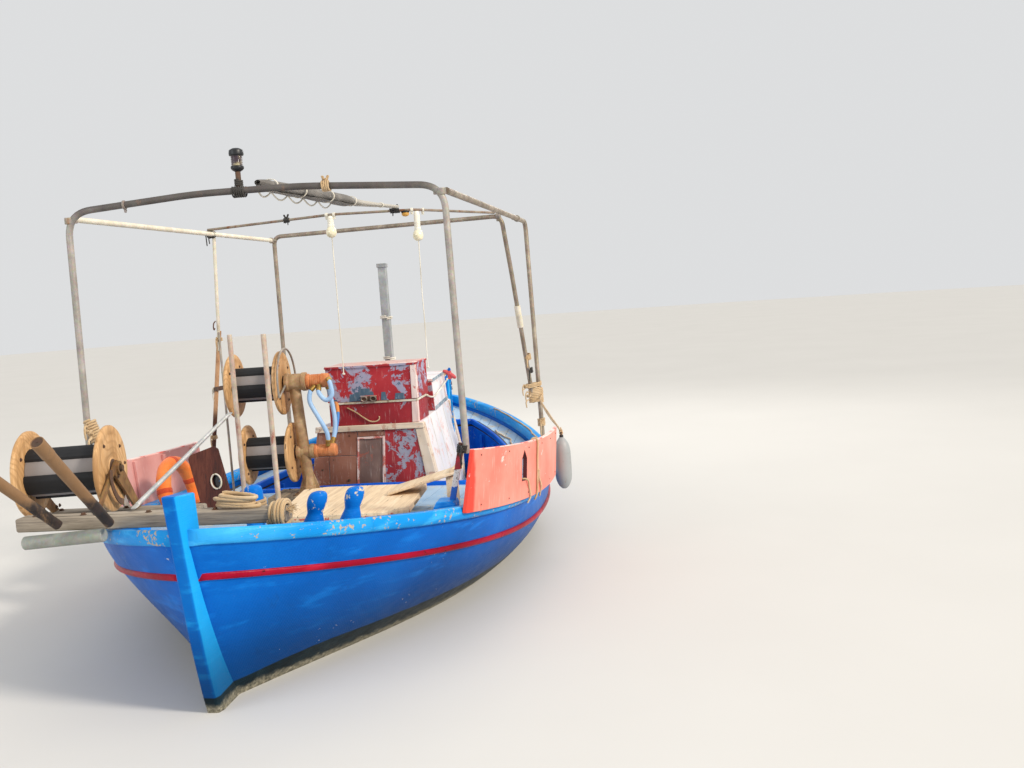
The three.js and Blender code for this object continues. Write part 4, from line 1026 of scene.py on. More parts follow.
# The coaming: a rounded section carried along the well's edge, which is a closed path at deck height
def coamingShape():
    margin, lift = 0.002, 0.01
    x = np.linspace(well["fore"] + margin, well["aft"] - margin, 60)
    y = halfAt(x) - well["sideDeck"] + margin
    across = np.linspace(1, -1, 24)[1:-1]
    foreEdge = np.stack([np.full(22, x[0]), across[::-1] * y[0]], -1)
    aftEdge = np.stack([np.full(22, x[-1]), across * y[-1]], -1)
    flat = np.concatenate([np.stack([x, y], -1), aftEdge, np.stack([x, -y], -1)[::-1], foreEdge])
    z = deckHeight(flat[:, 0], flat[:, 1]) + lift
    return sweptShape(np.concatenate([flat, z[:, None]], -1), roundedRectangle(0.05, 0.03, 0.009), (0, 0, 1),
                      closed=True)


ribs = {"first": -0.42, "last": -2.2, "every": 0.34, "width": 0.036, "depth": 0.024, "radius": 0.006}


# Ribs of the open well, standing on its lining
def ribShapes():
    shapes = []
    for x in np.arange(ribs["first"], ribs["last"], -ribs["every"]):
        y = halfAt(x) - well["sideDeck"] - well["lining"] - 0.01
        top = deckHeight(x, y) - 0.045
        # towards the stern a rib starts where the planking leaves room for it
        heights = np.linspace(well["soleTop"] + 0.004, top - 0.05, 30)
        room = np.array([np.interp(x, *insideAt(z)) for z in heights])
        foot = float(heights[np.argmax(room > y + 0.014)])
        for side in (1, -1):
            shapes.append(timberShape((x, side * y, foot), (x, side * y, top), ribs["width"], ribs["depth"],
                                      (1, 0, 0), ribs["radius"], seed=int(-x * 100)))
    return shapes


for name, finish in (("deck", caulk), ("well_lining", liningPaint), ("well_sole", caulk)):
    dressNode(name, finish)
makePiece("DeckPlanks", deckPlanks(), deckPaint, sharp=30)
makePiece("SolePlanks", solePlanks(), deckPaint, sharp=30)
makePiece("Coaming", [coamingShape()], liningPaint, sharp=60)
makePiece("WellRibs", ribShapes(), liningPaint)
print("decks laid")


# A pipe with open ends: its wall's profile turned round the line between two places
def openPipe(start, end, outer, inner):
    sides, soft = 24, 0.0012
    start, end = np.asarray(start, float), np.asarray(end, float)
    length = np.linalg.norm(end - start)
    wall = [[inner, 0], [outer - soft, 0], [outer, soft], [outer, length - soft], [outer - soft, length],
            [inner, length]]
    points, _ = turnedShape(wall, start, end - start, sides)
    return hoopShape(points.reshape(len(wall), sides, 3))


# Turned about an upright line through [x, y], in degrees
def swungBy(centre, degrees):
    middle = Vector((centre[0], centre[1], 0))
    return Matrix.Translation(middle) @ Matrix.Rotation(math.radians(degrees), 4, "Z") @ Matrix.Translation(-middle)


def alongY(profile, x, y, z, sides=36):
    return turnedShape(profile, (x, y, z), (0, 1, 0), sides)


# Thin fibres splayed from a rope's cut end
def frayShapes(place, aim, spread, length, radius, count, seed):
    rng = np.random.default_rng(seed)
    shapes = []
    for _ in range(count):
        direction = unit(np.asarray(aim, float) + spread * rng.uniform(-1, 1, 3))
        s = np.linspace(0, 1, 9)[:, None]
        reach = length * rng.uniform(0.6, 1)
        path = np.asarray(place) + reach * (s * direction + 0.25 * s**2 * np.array([0, 0, -1]))
        shapes.append(sweptShape(path, taperedCircle(np.linspace(radius, radius * 0.3, 9), 5), (0.3, 0.2, 1)))
    return shapes


bowGear = {
    "foreX": 2.466, "aftX": 1.916, "width": 0.092, "foreTop": 0.875, "aftTop": 0.785,
    "foreEnds": (-0.935, 0.36), "aftEnds": (-1.145, -0.3), "pipeY": (-0.88, -0.485),
    "rollerX": 2.2, "rollerZ": 1.035, "rollerMiddle": -0.825, "rollerSwing": 10.5,
    # guide poles: foot, head, foot radius, head radius
    "poleA": ((2.562, -0.69, 0.85), (3.0, -0.85, 1.29), 0.023, 0.029),
    "poleB": ((2.562, -0.443, 0.85), (3.01, -0.452, 1.292), 0.023, 0.029),
    "brace": ((2.46, -0.38, 0.891), (0.925, -0.54, 1.142)),
}
rollerSwing = swungBy((bowGear["rollerX"], bowGear["rollerMiddle"]), bowGear["rollerSwing"])


def railTop(x):
    return sheerHeight(x) + hull["railRise"]


def buildBeams(g):
    for name, x, top, ends, seed in (("fore", g["foreX"], g["foreTop"], g["foreEnds"], 3),
                                     ("aft", g["aftX"], g["aftTop"], g["aftEnds"], 8)):
        low = railTop(x + g["width"] / 2) + 0.0005
        middle, height = (low + top) / 2, top - low
        shapes = [timberShape((x, ends[0], middle), (x, ends[1], middle), g["width"], height, (1, 0, 0), 0.009,
                              0.0006, seed)]
        makePiece(f"Beam_{name}", shapes, beamWood, replaced=[f"bow_beam_{name}"], sharp=45)
    bolts = []
    for y in (-0.86, -0.62, -0.3, 0.02, 0.16):
        bolts += boltShapes((g["foreX"] + 0.012 * math.sin(40 * y), y, g["foreTop"] - 0.001), (0, 0, 1), 0.01)
    for y in (-1.08, -0.72, -0.36):
        bolts += boltShapes((g["aftX"], y, g["aftTop"] - 0.001), (0, 0, 1), 0.01)
    makePiece("BeamBolts", bolts, rustySteel)
    pipeX = g["foreX"] - g["width"] / 2 + 0.112
    pipeZ = railTop(g["foreX"] + g["width"] / 2) - 0.0283
    low, high = (pipeX + 0.006, g["pipeY"][0], pipeZ - 0.014), (pipeX + 0.01, g["pipeY"][1], pipeZ + 0.012)
    makePiece("BeamPipe", [rodShape(low, high, 0.031, 30, 0.004)], pipeGrey,
              replaced=["beam_pipe"])
    ropes = []
    beamMiddle = (railTop(g["foreX"] + 0.046) + g["foreTop"]) / 2
    for k, (middle, turns) in enumerate(((0.318, 5), (0.334, 3))):
        grow = 0.0115 * k
        path = windingPath((g["foreX"], middle, beamMiddle), (0.05, 1, 0), (1, 0, 0), 0.056 + grow, 0.05 + grow,
                           turns, 0.0152, 0.4 + k)
        ropes.append(ropeShape(path, 0.008, 12, (0, 1, 0)))
    end = np.array((g["foreX"], g["foreEnds"][1] + 0.002, g["foreTop"] - 0.012))
    for k, dx in enumerate((-0.034, -0.012, 0.01, 0.032)):
        ropes += frayShapes(end + (dx, 0, 0), (0.2, 0.8, 0.35), 0.7, 0.045, 0.0022, 12, 4 + k)
    # A loose coil of the same rope lies on the beam
    coil = windingPath((g["foreX"] - 0.004, 0.12, g["foreTop"] + 0.034), (0.06, 0.1, 1), (0, 1, 0), 0.092, 0.03,
                       4.3, 0.0145, 0.6)
    s = np.linspace(0, 1, len(coil))[:, None]
    coil = coil + np.concatenate([0.004 * ripple(7 * s, 3), 0.014 * ripple(5 * s, 9), 0.003 * ripple(6 * s, 4)], 1)
    ropes.append(ropeShape(evenly(coil, 150), 0.0098, 12))
    makePiece("BeamTurns", ropes, beigeRope)


def buildGuidePoles(g):
    for name in ("A", "B"):
        foot, head, low, high = g["pole" + name]
        length = float(np.linalg.norm(np.subtract(head, foot)))
        profile = capped([[low, 0], [low, 0.1], [low + 0.002, 0.11], [low + 0.002, 0.16], [low + 0.001, 0.17],
                          [high - 0.002, length - 0.1], [high, length - 0.09], [high, length],
                          [high - 0.005, length], [high - 0.005, length - 0.006]], 0.002)
        shapes = [turnedShape(profile, foot, np.subtract(head, foot), 28)]
        makePiece(f"GuidePole{name}", shapes, poleBrownLitTop, replaced=[f"guide_pole_{name.lower()}"])
        aim = unit(np.subtract(head, foot))
        cap = capped([[high - 0.0055, 0], [high - 0.0055, 0.0045]], 0.001)
        shapes = [turnedShape(cap, np.asarray(head) - 0.0058 * aim, aim, 28)]
        makePiece(f"GuideBolt{name}", shapes + boltShapes(np.asarray(head) - 0.0015 * aim, aim, 0.003), rustySteel)
    start, end = (np.array(p) for p in g["brace"])
    aim = unit(end - start)
    shapes = [rodShape(start + 0.05 * aim, end - 0.05 * aim, 0.0115, 20)]
    for place, sign in ((start, 1), (end, -1)):
        flatPath = np.stack([place + sign * aim * s for s in (0.0, 0.01, 0.03, 0.055, 0.075)])
        widths = np.array([0.022, 0.03, 0.031, 0.026, 0.0225])[:, None, None]
        heights = np.array([0.006, 0.007, 0.008, 0.015, 0.022])[:, None, None]
        section = circle(0.5, 20)[None] * np.concatenate([widths, heights], -1)
        shapes.append(sweptShape(flatPath, section, (0, 1, 0)))
    makePiece("BraceBar", shapes, aluminium, replaced=["brace_bar"])


# A drum's pieces, made along Y and then swung: two plywood discs, an axle with nuts, rubber bars between them
def makeDrum(name, body, nodeName, swing, plan):
    x, z, inner, outer, radius = plan["x"], plan["z"], plan["inner"], plan["outer"], plan["radius"]
    half = 0.011
    rings = [[0.017, -half], [0.052, -half], [0.054, -half + 0.0015], [0.06, -half + 0.0015], [0.062, -half],
             [radius * 0.7, -half], [radius * 0.72, -half + 0.0012], [radius * 0.8, -half + 0.0012],
             [radius * 0.82, -half], [radius - 0.005, -half], [radius, -half + 0.005]]
    profile = rings + [[r, -h] for r, h in reversed(rings)]
    discs = []
    for y in (inner, outer):
        points, _ = alongY(profile, x, y, z, 72)
        discs.append(moved(hoopShape(points.reshape(len(profile), 72, 3)), swing))
    makePiece(name + "Discs", discs, ringWood, body, [nodeName + "_flanges"], sharp=50)
    metalShapes = [rodShape((x, plan["axleOut"], z), (x, plan["axleIn"], z), 0.015, 24)]
    for y, out in ((inner, 1), (outer, -1)):
        for face in (1, -1):
            plate = capped([[0.046, 0], [0.046, 0.004], [0.026, 0.005], [0.024, 0.012]], 0.001)
            metalShapes.append(turnedShape(plate, (x, y + face * (half - 0.0005), z), (0, face, 0), 32))
            for k in range(4):
                a = math.radians(90 * k + 45 + 8 * out)
                place = (x + 0.72 * radius * math.cos(a), y + face * (half - 0.001),
                         z + 0.72 * radius * math.sin(a))
                metalShapes += boltShapes(place, (0, face, 0), 0.0065)
    makePiece(name + "Axle", [moved(shape, swing) for shape in metalShapes], rustySteel, body)
    core = plan["coreRadius"]
    low, high = outer + half + 0.0008, inner - half - 0.0008
    bars = []
    for k in range(4):
        middle = math.radians(90 * k + 22.5)
        sweep = np.radians(np.linspace(-27, 27, 15)) + middle
        crown = core * (1 - 0.1 * np.abs(np.linspace(-1, 1, 15))**5)
        crown = crown - 0.0018 * (np.cos(np.linspace(-1, 1, 15) * 19) > 0.3)
        outerArc = np.stack([crown * np.cos(sweep), crown * np.sin(sweep)], -1)
        innerArc = 0.8 * core * np.stack([np.cos(sweep[::-4]), np.sin(sweep[::-4])], -1)
        path = np.stack([np.full(9, x), np.linspace(low, high, 9), np.full(9, z)], -1)
        bars.append(moved(sweptShape(path, np.concatenate([outerArc, innerArc]), (1, 0, 0)), swing))
    makePiece(name + "Bars", bars, rubber, body, [nodeName + "_core"], sharp=28)
    barrel = capped([[0.86 * core, 0], [0.86 * core, high - low]], 0.004)
    makePiece(name + "Barrel", [moved(alongY(barrel, x, low, z, 48), swing)], greyBand, body)


def buildBracketTrim(g):
    x, z = g["rollerX"], g["rollerZ"]
    shapes = []
    for plateY, foot in ((-0.611, g["aftX"] - 0.003), (-1.061, g["aftX"] - 0.086)):
        for dx, dz in ((0.0, 0.0), (0.036, -0.02), (-0.02, 0.03)):
            shapes += boltShapes((x - 0.055 + dx * 2, plateY + 0.0125, z - 0.02 + dz), (0, 1, 0), 0.006)
        for dx in (0.005, 0.045):
            shapes += boltShapes((foot + dx, plateY + 0.0125, g["aftTop"] + 0.022), (0, 1, 0), 0.007)
    # A bent strap that hangs beside the inner disc
    strap = smoothThrough([(x + 0.115, -0.594, z + 0.01), (x + 0.122, -0.594, z - 0.045),
                           (x + 0.095, -0.594, z - 0.1), (x + 0.045, -0.594, z - 0.15),
                           (x - 0.01, -0.594, z - 0.172)], 30)
    shapes.append(sweptShape(strap, roundedRectangle(0.006, 0.032, 0.0025), (0, 1, 0)))
    makePiece("BracketTrim", [moved(shape, rollerSwing) for shape in shapes], rustySteel)


pipeGrey = metal("BeamPipeGrey", "#8a8c82 #9c9e94 #b2b3a8", 0.72, 0.5, 0.1)
creamPipe = metal("CreamPipe", "#c9bfab #dcd3c0 #ece5d6", 0.68, 0.5, 0.1, "#7d5a40 #b08a66")
buildBeams(bowGear)
buildGuidePoles(bowGear)
for bracket in ("roller_bracket_in", "roller_bracket_out"):
    dressNode(bracket, bracketTan, 0.0025)
makeDrum("BowRoller", "bow_roller", "bow_roller", rollerSwing, {
    "x": 2.2, "z": 1.035, "inner": -0.635, "outer": -1.015, "radius": 0.212, "coreRadius": 0.128,
    "axleIn": -0.575, "axleOut": -1.08})
buildBracketTrim(bowGear)
print("bow gear built")

hauler = {
    "x": 0.3, "footY": -0.305, "headY": -0.352, "padTop": 0.505, "upperZ": 1.255, "lowerZ": 0.785, "swing": 5.0,
    "padX": (0.13, 0.43), "padY": (-0.56, -0.21), "columnRadius": 0.038, "hoopY": -0.398, "hoopRadius": 0.228,
    # housing and motor: radius, low y, high y
    "upperHousing": (0.062, -0.416, -0.265), "upperMotor": (0.05, -0.265, -0.112),
    "lowerHousing": (0.05, -0.379, -0.25), "lowerMotor": (0.046, -0.25, -0.102),
}
haulerSwing = swungBy((hauler["x"], -0.345), hauler["swing"])


def buildHauler(h):
    x, top = h["x"], h["padTop"]
    boards = []
    for k in range(3):
        y = h["padY"][0] + (k + 0.5) * (h["padY"][1] - h["padY"][0]) / 3
        low = deckHeight(x, y) + 0.002
        boards.append(timberShape((h["padX"][0], y, (low + top) / 2), (h["padX"][1], y, (low + top) / 2), 0.114,
                                  top - low, (0, 1, 0), 0.007, 0.0006, 20 + k))
    makePiece("HaulerPad", boards, postWood, replaced=["hauler_pad"], sharp=45)
    foot, head = (x, h["footY"], top + 0.002), (x, h["headY"], h["upperZ"] + 0.02)
    shapes = [rodShape(foot, head, h["columnRadius"], 36)]
    aim = unit(np.subtract(head, foot))
    collar = capped([[0.044, 0], [0.046, 0.006], [0.046, 0.022], [0.044, 0.028]], 0.002)
    shapes.append(turnedShape(collar, np.array(foot) + 0.02 * aim, aim, 36))
    plate = roundedRectangle(0.18, 0.16, 0.01)
    shapes.append(plateShape(plate, (x, h["footY"], top + 0.0005), (1, 0, 0), (0, 1, 0), 0, 0.0115))
    gusset = rounded([[0.03, 0.012], [0.083, 0.012], [0.083, 0.02], [0.04, 0.125], [0.03, 0.125], [0.03, 0.012]],
                     0.004)
    for along in ((1, 0, 0), (-1, 0, 0), (0, 1, 0), (0, -1, 0)):
        reach = 1.0 if along[0] else 0.88
        shapes.append(plateShape(gusset * [reach, 1], (x, h["footY"], top), along, (0, 0, 1), -0.004, 0.004))
    for name, z in (("upper", h["upperZ"]), ("lower", h["lowerZ"])):
        radius, low, high = h[name + "Housing"]
        profile = capped([[0.6 * radius, 0], [0.6 * radius, 0.008], [radius, 0.008], [radius, 0.03],
                          [0.9 * radius, 0.036], [0.9 * radius, high - low - 0.034], [radius, high - low - 0.028],
                          [radius, high - low]], 0.003)
        shapes.append(moved(alongY(profile, x, low, z, 44), haulerSwing))
        for k in range(6):
            a = math.radians(60 * k + 15)
            place = (x + 0.82 * radius * math.cos(a), low + 0.009, z + 0.82 * radius * math.sin(a))
            shapes += [moved(bolt, haulerSwing) for bolt in boltShapes(place, (0, -1, 0), 0.0045)]
    arc = np.radians(np.linspace(-20, 200, 60))
    hoop = np.stack([x + h["hoopRadius"] * np.cos(arc), np.full(60, h["hoopY"]),
                     h["upperZ"] + h["hoopRadius"] * np.sin(arc)], -1)
    hoop = np.concatenate([[(x + 0.055, h["hoopY"], h["upperZ"] - 0.015)], hoop,
                           [(x - 0.055, h["hoopY"], h["upperZ"] - 0.015)]])
    guard = moved(sweptShape(bentPath(hoop, 0.02, 0.012), circle(0.007, 12), (0, 1, 0)), haulerSwing)
    makePiece("GuardHoop", [guard], wornZinc)
    makePiece("HaulerColumn", shapes, ochre, replaced=["hauler_column"])
    bolts = boltGrid((x, h["footY"], top + 0.0115), (-0.074, 0.074), (-0.062, 0.062), 0.008)
    for dx in (-0.12, 0.12):
        for y in (-0.5, -0.385, -0.27):
            bolts += boltShapes((x - 0.02 + dx, y, top - 0.001), (0, 0, 1), 0.006)
    makePiece("HaulerBolts", bolts, rustySteel)
    for name, z in (("upper", h["upperZ"]), ("lower", h["lowerZ"])):
        radius, low, high = h[name + "Motor"]
        length = high - low - 0.0005
        profile = capped([[radius, 0], [radius, 0.018], [0.86 * radius, 0.022], [0.84 * radius, 0.62 * length],
                          [0.95 * radius, 0.66 * length], [0.95 * radius, 0.93 * length], [0.8 * radius, length]],
                         0.003)
        shapes = [alongY(profile, x, low + 0.0005, z, 40)]
        for k in range(5):
            band = capped([[0.885 * radius, 0], [0.9 * radius, 0.004], [0.885 * radius, 0.012]], 0.001)
            shapes.append(alongY(band, x + 0.001 * (k % 2), low + (0.2 + 0.085 * k) * length, z, 40))
        makePiece(f"Motor_{name}", [moved(shape, haulerSwing) for shape in shapes], orangeTape,
                  replaced=[f"{name}_motor"])
    for name, z in (("Upper", h["upperZ"]), ("Lower", h["lowerZ"])):
        upper = name == "Upper"
        _, _, housingEnd = h[name.lower() + "Housing"]
        outer = -0.75 if upper else -0.7
        makeDrum(name + "Drum", name.lower() + "_drum", name.lower() + "_drum", haulerSwing, {
            "x": x, "z": z, "inner": -0.432 if upper else -0.395, "outer": outer, "radius": 0.212 if upper else 0.2,
            "coreRadius": 0.118, "axleIn": housingEnd + 0.05, "axleOut": outer - 0.045})


def buildHoses(h):
    x, up, low = h["x"] - 0.015, h["upperZ"], h["lowerZ"]
    radius = 0.015
    routes = {
        "hose_long": [(x + 0.04, -0.205, up - 0.034), (x + 0.07, -0.225, 1.19), (x + 0.075, -0.232, 1.12),
                      (x + 0.062, -0.19, 1.02), (x + 0.05, -0.15, 0.93), (x + 0.045, -0.14, low + 0.09),
                      (x + 0.032, -0.15, low + 0.036)],
        "hose_loop": [(x + 0.044, -0.17, up - 0.028), (x + 0.078, -0.165, 1.18), (x + 0.08, -0.12, 1.13),
                      (x + 0.076, -0.078, 1.165), (x + 0.07, -0.09, 1.255), (x + 0.04, -0.108, 1.262)],
        "hose_short": [(x - 0.048, -0.15, up - 0.02), (x - 0.075, -0.14, 1.15), (x - 0.07, -0.12, 1.0),
                       (x - 0.06, -0.125, 0.9), (x - 0.034, -0.14, low + 0.036)],
    }
    ferrules = []
    for name, route in routes.items():
        path = smoothThrough(route, 90)
        makePiece(name + "Skin", [sweptShape(path, circle(radius, 18), (0.3, 1, 0.1))], hoseSkin,
                  replaced=[name])
        for end, inwards in ((path[0], path[4] - path[0]), (path[-1], path[-5] - path[-1])):
            aim = unit(inwards)
            profile = capped([[0.0125, 0], [0.0163, 0.005], [0.0163, 0.016], [0.0156, 0.018], [0.0172, 0.021],
                              [0.0172, 0.046], [0.015, 0.05]], 0.001)
            ferrules.append(turnedShape(profile, end - 0.004 * aim, aim, 20))
    makePiece("HoseFerrules", ferrules, brass)


buildHauler(hauler)
buildHoses(hauler)
print("hauler built")


casing = {
    "middle": -0.017, "foreX": -0.24, "knee": 0.43, "top": 0.872, "rake": 0.012, "low": 0.473, "high": 0.388,
    "boxFore": -0.25, "boxStbd": -0.304, "boxPort": 0.342, "lidTop": 1.302,
    "sideRun": 1.5, "lowTaper": 0.093, "highTaper": 0.088,
    "tallFore": -0.905, "tallAft": -1.7, "tallTop": 1.12, "tallHalfFore": 0.335, "tallHalfAft": 0.275,
}


# The casing's fore face leans aft above its knee; a place on it is given by y, z and how far it stands out
def frontPlace(y, z, out):
    rise = np.clip((z - casing["knee"]) / (casing["top"] - casing["knee"]), 0, 1)
    return np.stack([casing["foreX"] - casing["rake"] * rise + out, y, z], -1)


# The outer edge of the fore face at a height, to port or starboard
def frontEdge(z, side, inset):
    rise = (z - casing["knee"]) / (casing["top"] - casing["knee"])
    return casing["middle"] + side * (casing["low"] - (casing["low"] - casing["high"]) * rise - inset)


# A board on a surface: corners in two parameters, in order round, mixed by two shares and given a thickness
def boardOn(surface, corners, high, steps=6, wobble=0.0, seed=1, low=0.0004):
    s, t = np.meshgrid(np.linspace(0, 1, steps), np.linspace(0, 1, steps), indexing="ij")
    a, b, c, d = np.asarray(corners, float)
    flat = ((1 - s) * (1 - t))[..., None] * a + (s * (1 - t))[..., None] * b + (s * t)[..., None] * c \
        + ((1 - s) * t)[..., None] * d
    swell = wobble * ripple(3 * s + 2 * t, seed)
    return slabShape(surface(flat[..., 0], flat[..., 1], high + swell),
                     surface(flat[..., 0], flat[..., 1], low + 0 * s))


def buildFront():
    e = frontEdge
    low, seam, top = 0.44, 0.657, 0.829
    planks = [
        [(e(low, -1, 0.004), low), (-0.345, low), (-0.338, seam - 0.004), (e(seam, -1, 0.004), seam - 0.004)],
        [(-0.341, low), (-0.14, low), (-0.122, seam - 0.004), (-0.334, seam - 0.004)],
        [(e(seam, -1, 0.004), seam), (-0.121, seam), (-0.11, top), (e(top, -1, 0.004), top)],
        [(-0.105, 0.789), (0.09, 0.789), (0.09, top), (-0.107, top)],
    ]
    shapes = [boardOn(frontPlace, board, 0.009 + 0.002 * (k % 2), wobble=0.0012, seed=k)
              for k, board in enumerate(planks)]
    makePiece("CasingPlanks", shapes, plankPaint, bevel=0.003)
    patch = [(-0.124, low), (0.052, low), (0.074, 0.77), (-0.098, 0.77)]
    makePiece("CasingPatch", [boardOn(frontPlace, patch, 0.007, wobble=0.0015, seed=7)], patchPaint,
              bevel=0.002)
    strips = [
        [(-0.136, low), (-0.125, low), (-0.099, 0.776), (-0.112, 0.785)],
        [(0.053, low), (0.071, low), (0.093, 0.785), (0.075, 0.776)],
        [(-0.11, 0.772), (0.088, 0.772), (0.09, 0.787), (-0.112, 0.787)],
    ]
    shapes = [boardOn(frontPlace, strip, 0.015, wobble=0.0015, seed=11 + k) for k, strip in enumerate(strips)]
    makePiece("PatchBorder", shapes, trimPaint, bevel=0.003)
    red = [(0.072, low), (e(low, 1, 0.075), low), (e(top, 1, 0.06), top), (0.094, top)]
    makePiece("CasingRedPanel", [boardOn(frontPlace, red, 0.008, 9, 0.0018, 15)], panelPaint,
              bevel=0.003)
    post = [(e(low, 1, 0.073), low), (e(low, 1, -0.006), low), (e(top, 1, -0.006), top), (e(top, 1, 0.058), top)]
    ledge = [(e(0.831, -1, -0.008), 0.831), (e(0.831, 1, -0.008), 0.831), (e(0.873, 1, -0.01), 0.873),
             (e(0.873, -1, -0.01), 0.873)]
    makePiece("CasingLedge", [boardOn(frontPlace, post, 0.016, 8, 0.0012, 17),
                              boardOn(frontPlace, ledge, 0.022, 10, 0.002, 19)], ledgePaint,
              bevel=0.004)
    bolts = []
    for y, z in ((-0.194, 0.48), (-0.3, 0.63), (-0.17, 0.8), (-0.39, 0.56)):
        bolts += boltShapes(frontPlace(np.array(y), np.array(z), 0.008), (1, 0, 0), 0.01 if y == -0.194 else 0.005)
    makePiece("CasingBolts", bolts, rustySteel)


# Places on the casing's port side: along the boat and up, between the fore and aft corners
def sidePlace(x, z, out):
    along = (x - casing["foreX"]) / -casing["sideRun"]
    rise = np.clip((z - casing["knee"]) / (casing["top"] - casing["knee"]), 0, 1)
    low = casing["low"] - casing["lowTaper"] * along
    high = casing["high"] - casing["highTaper"] * along
    return np.stack([x, casing["middle"] + low + (high - low) * rise + out, z], -1)


def buildSideTrim():
    corners = ([(-0.246, 0.2), (-0.318, 0.2), (-0.318, 0.866), (-0.252, 0.866)],
               [(-1.64, 0.2), (-1.728, 0.2), (-1.722, 0.866), (-1.64, 0.866)])
    trims = [boardOn(sidePlace, corner, 0.01, 8, 0.0012, 23 + k) for k, corner in enumerate(corners)]
    makePiece("CasingCorners", trims, ledgePaint, bevel=0.003)
    seams = [boardOn(sidePlace, oblong(x, x - 0.006, 0.13, 0.862), 0.0012, low=0.0003)
             for x in (-0.62, -0.93, -1.28)]
    makePiece("CasingSeams", seams, stripPaint)


def tallSide(x, z, out):
    along = (x - casing["tallFore"]) / (casing["tallAft"] - casing["tallFore"])
    rise = (z - casing["top"]) / (casing["tallTop"] - casing["top"])
    half = casing["tallHalfFore"] + (casing["tallHalfAft"] - casing["tallHalfFore"]) * along - 0.015 * rise
    return np.stack([x, half + out, z], -1)


def tallFront(y, z, out):
    rise = (z - casing["top"]) / (casing["tallTop"] - casing["top"])
    return np.stack([casing["tallFore"] - 0.01 * rise + out, y, z], -1)


def buildTallTrim():
    half = casing["tallHalfFore"]
    front = [(-half + 0.004, 0.877), (half - 0.004, 0.877), (half - 0.018, 1.094), (-half + 0.018, 1.094)]
    makePiece("TallFrontBoard", [boardOn(tallFront, front, 0.007, 9, 0.001, 31)], panelPaint,
              bevel=0.002)
    shapes = [boardOn(tallFront, [(-half + 0.012, 1.103), (half - 0.008, 1.103), (half - 0.01, 1.1195),
                                  (-half + 0.012, 1.1195)], 0.012, 9, 0.001, 33)]
    makePiece("TallLip", shapes, trimPaint, bevel=0.003)
    for side in (1, -1):
        shapes = [boardOn(tallSide, oblong(-0.909, -1.69, 0.876, 0.905), 0.006, 9),
                  boardOn(tallSide, oblong(-0.909, -1.69, 1.098, 1.1195), 0.01, 9)]
        flip = Matrix.Diagonal((1, side, 1, 1))
        makePiece("TallRims_" + ("port" if side > 0 else "stbd"), [moved(shape, flip) for shape in shapes],
                  slatePaint if side > 0 else trimPaint, bevel=0.002)


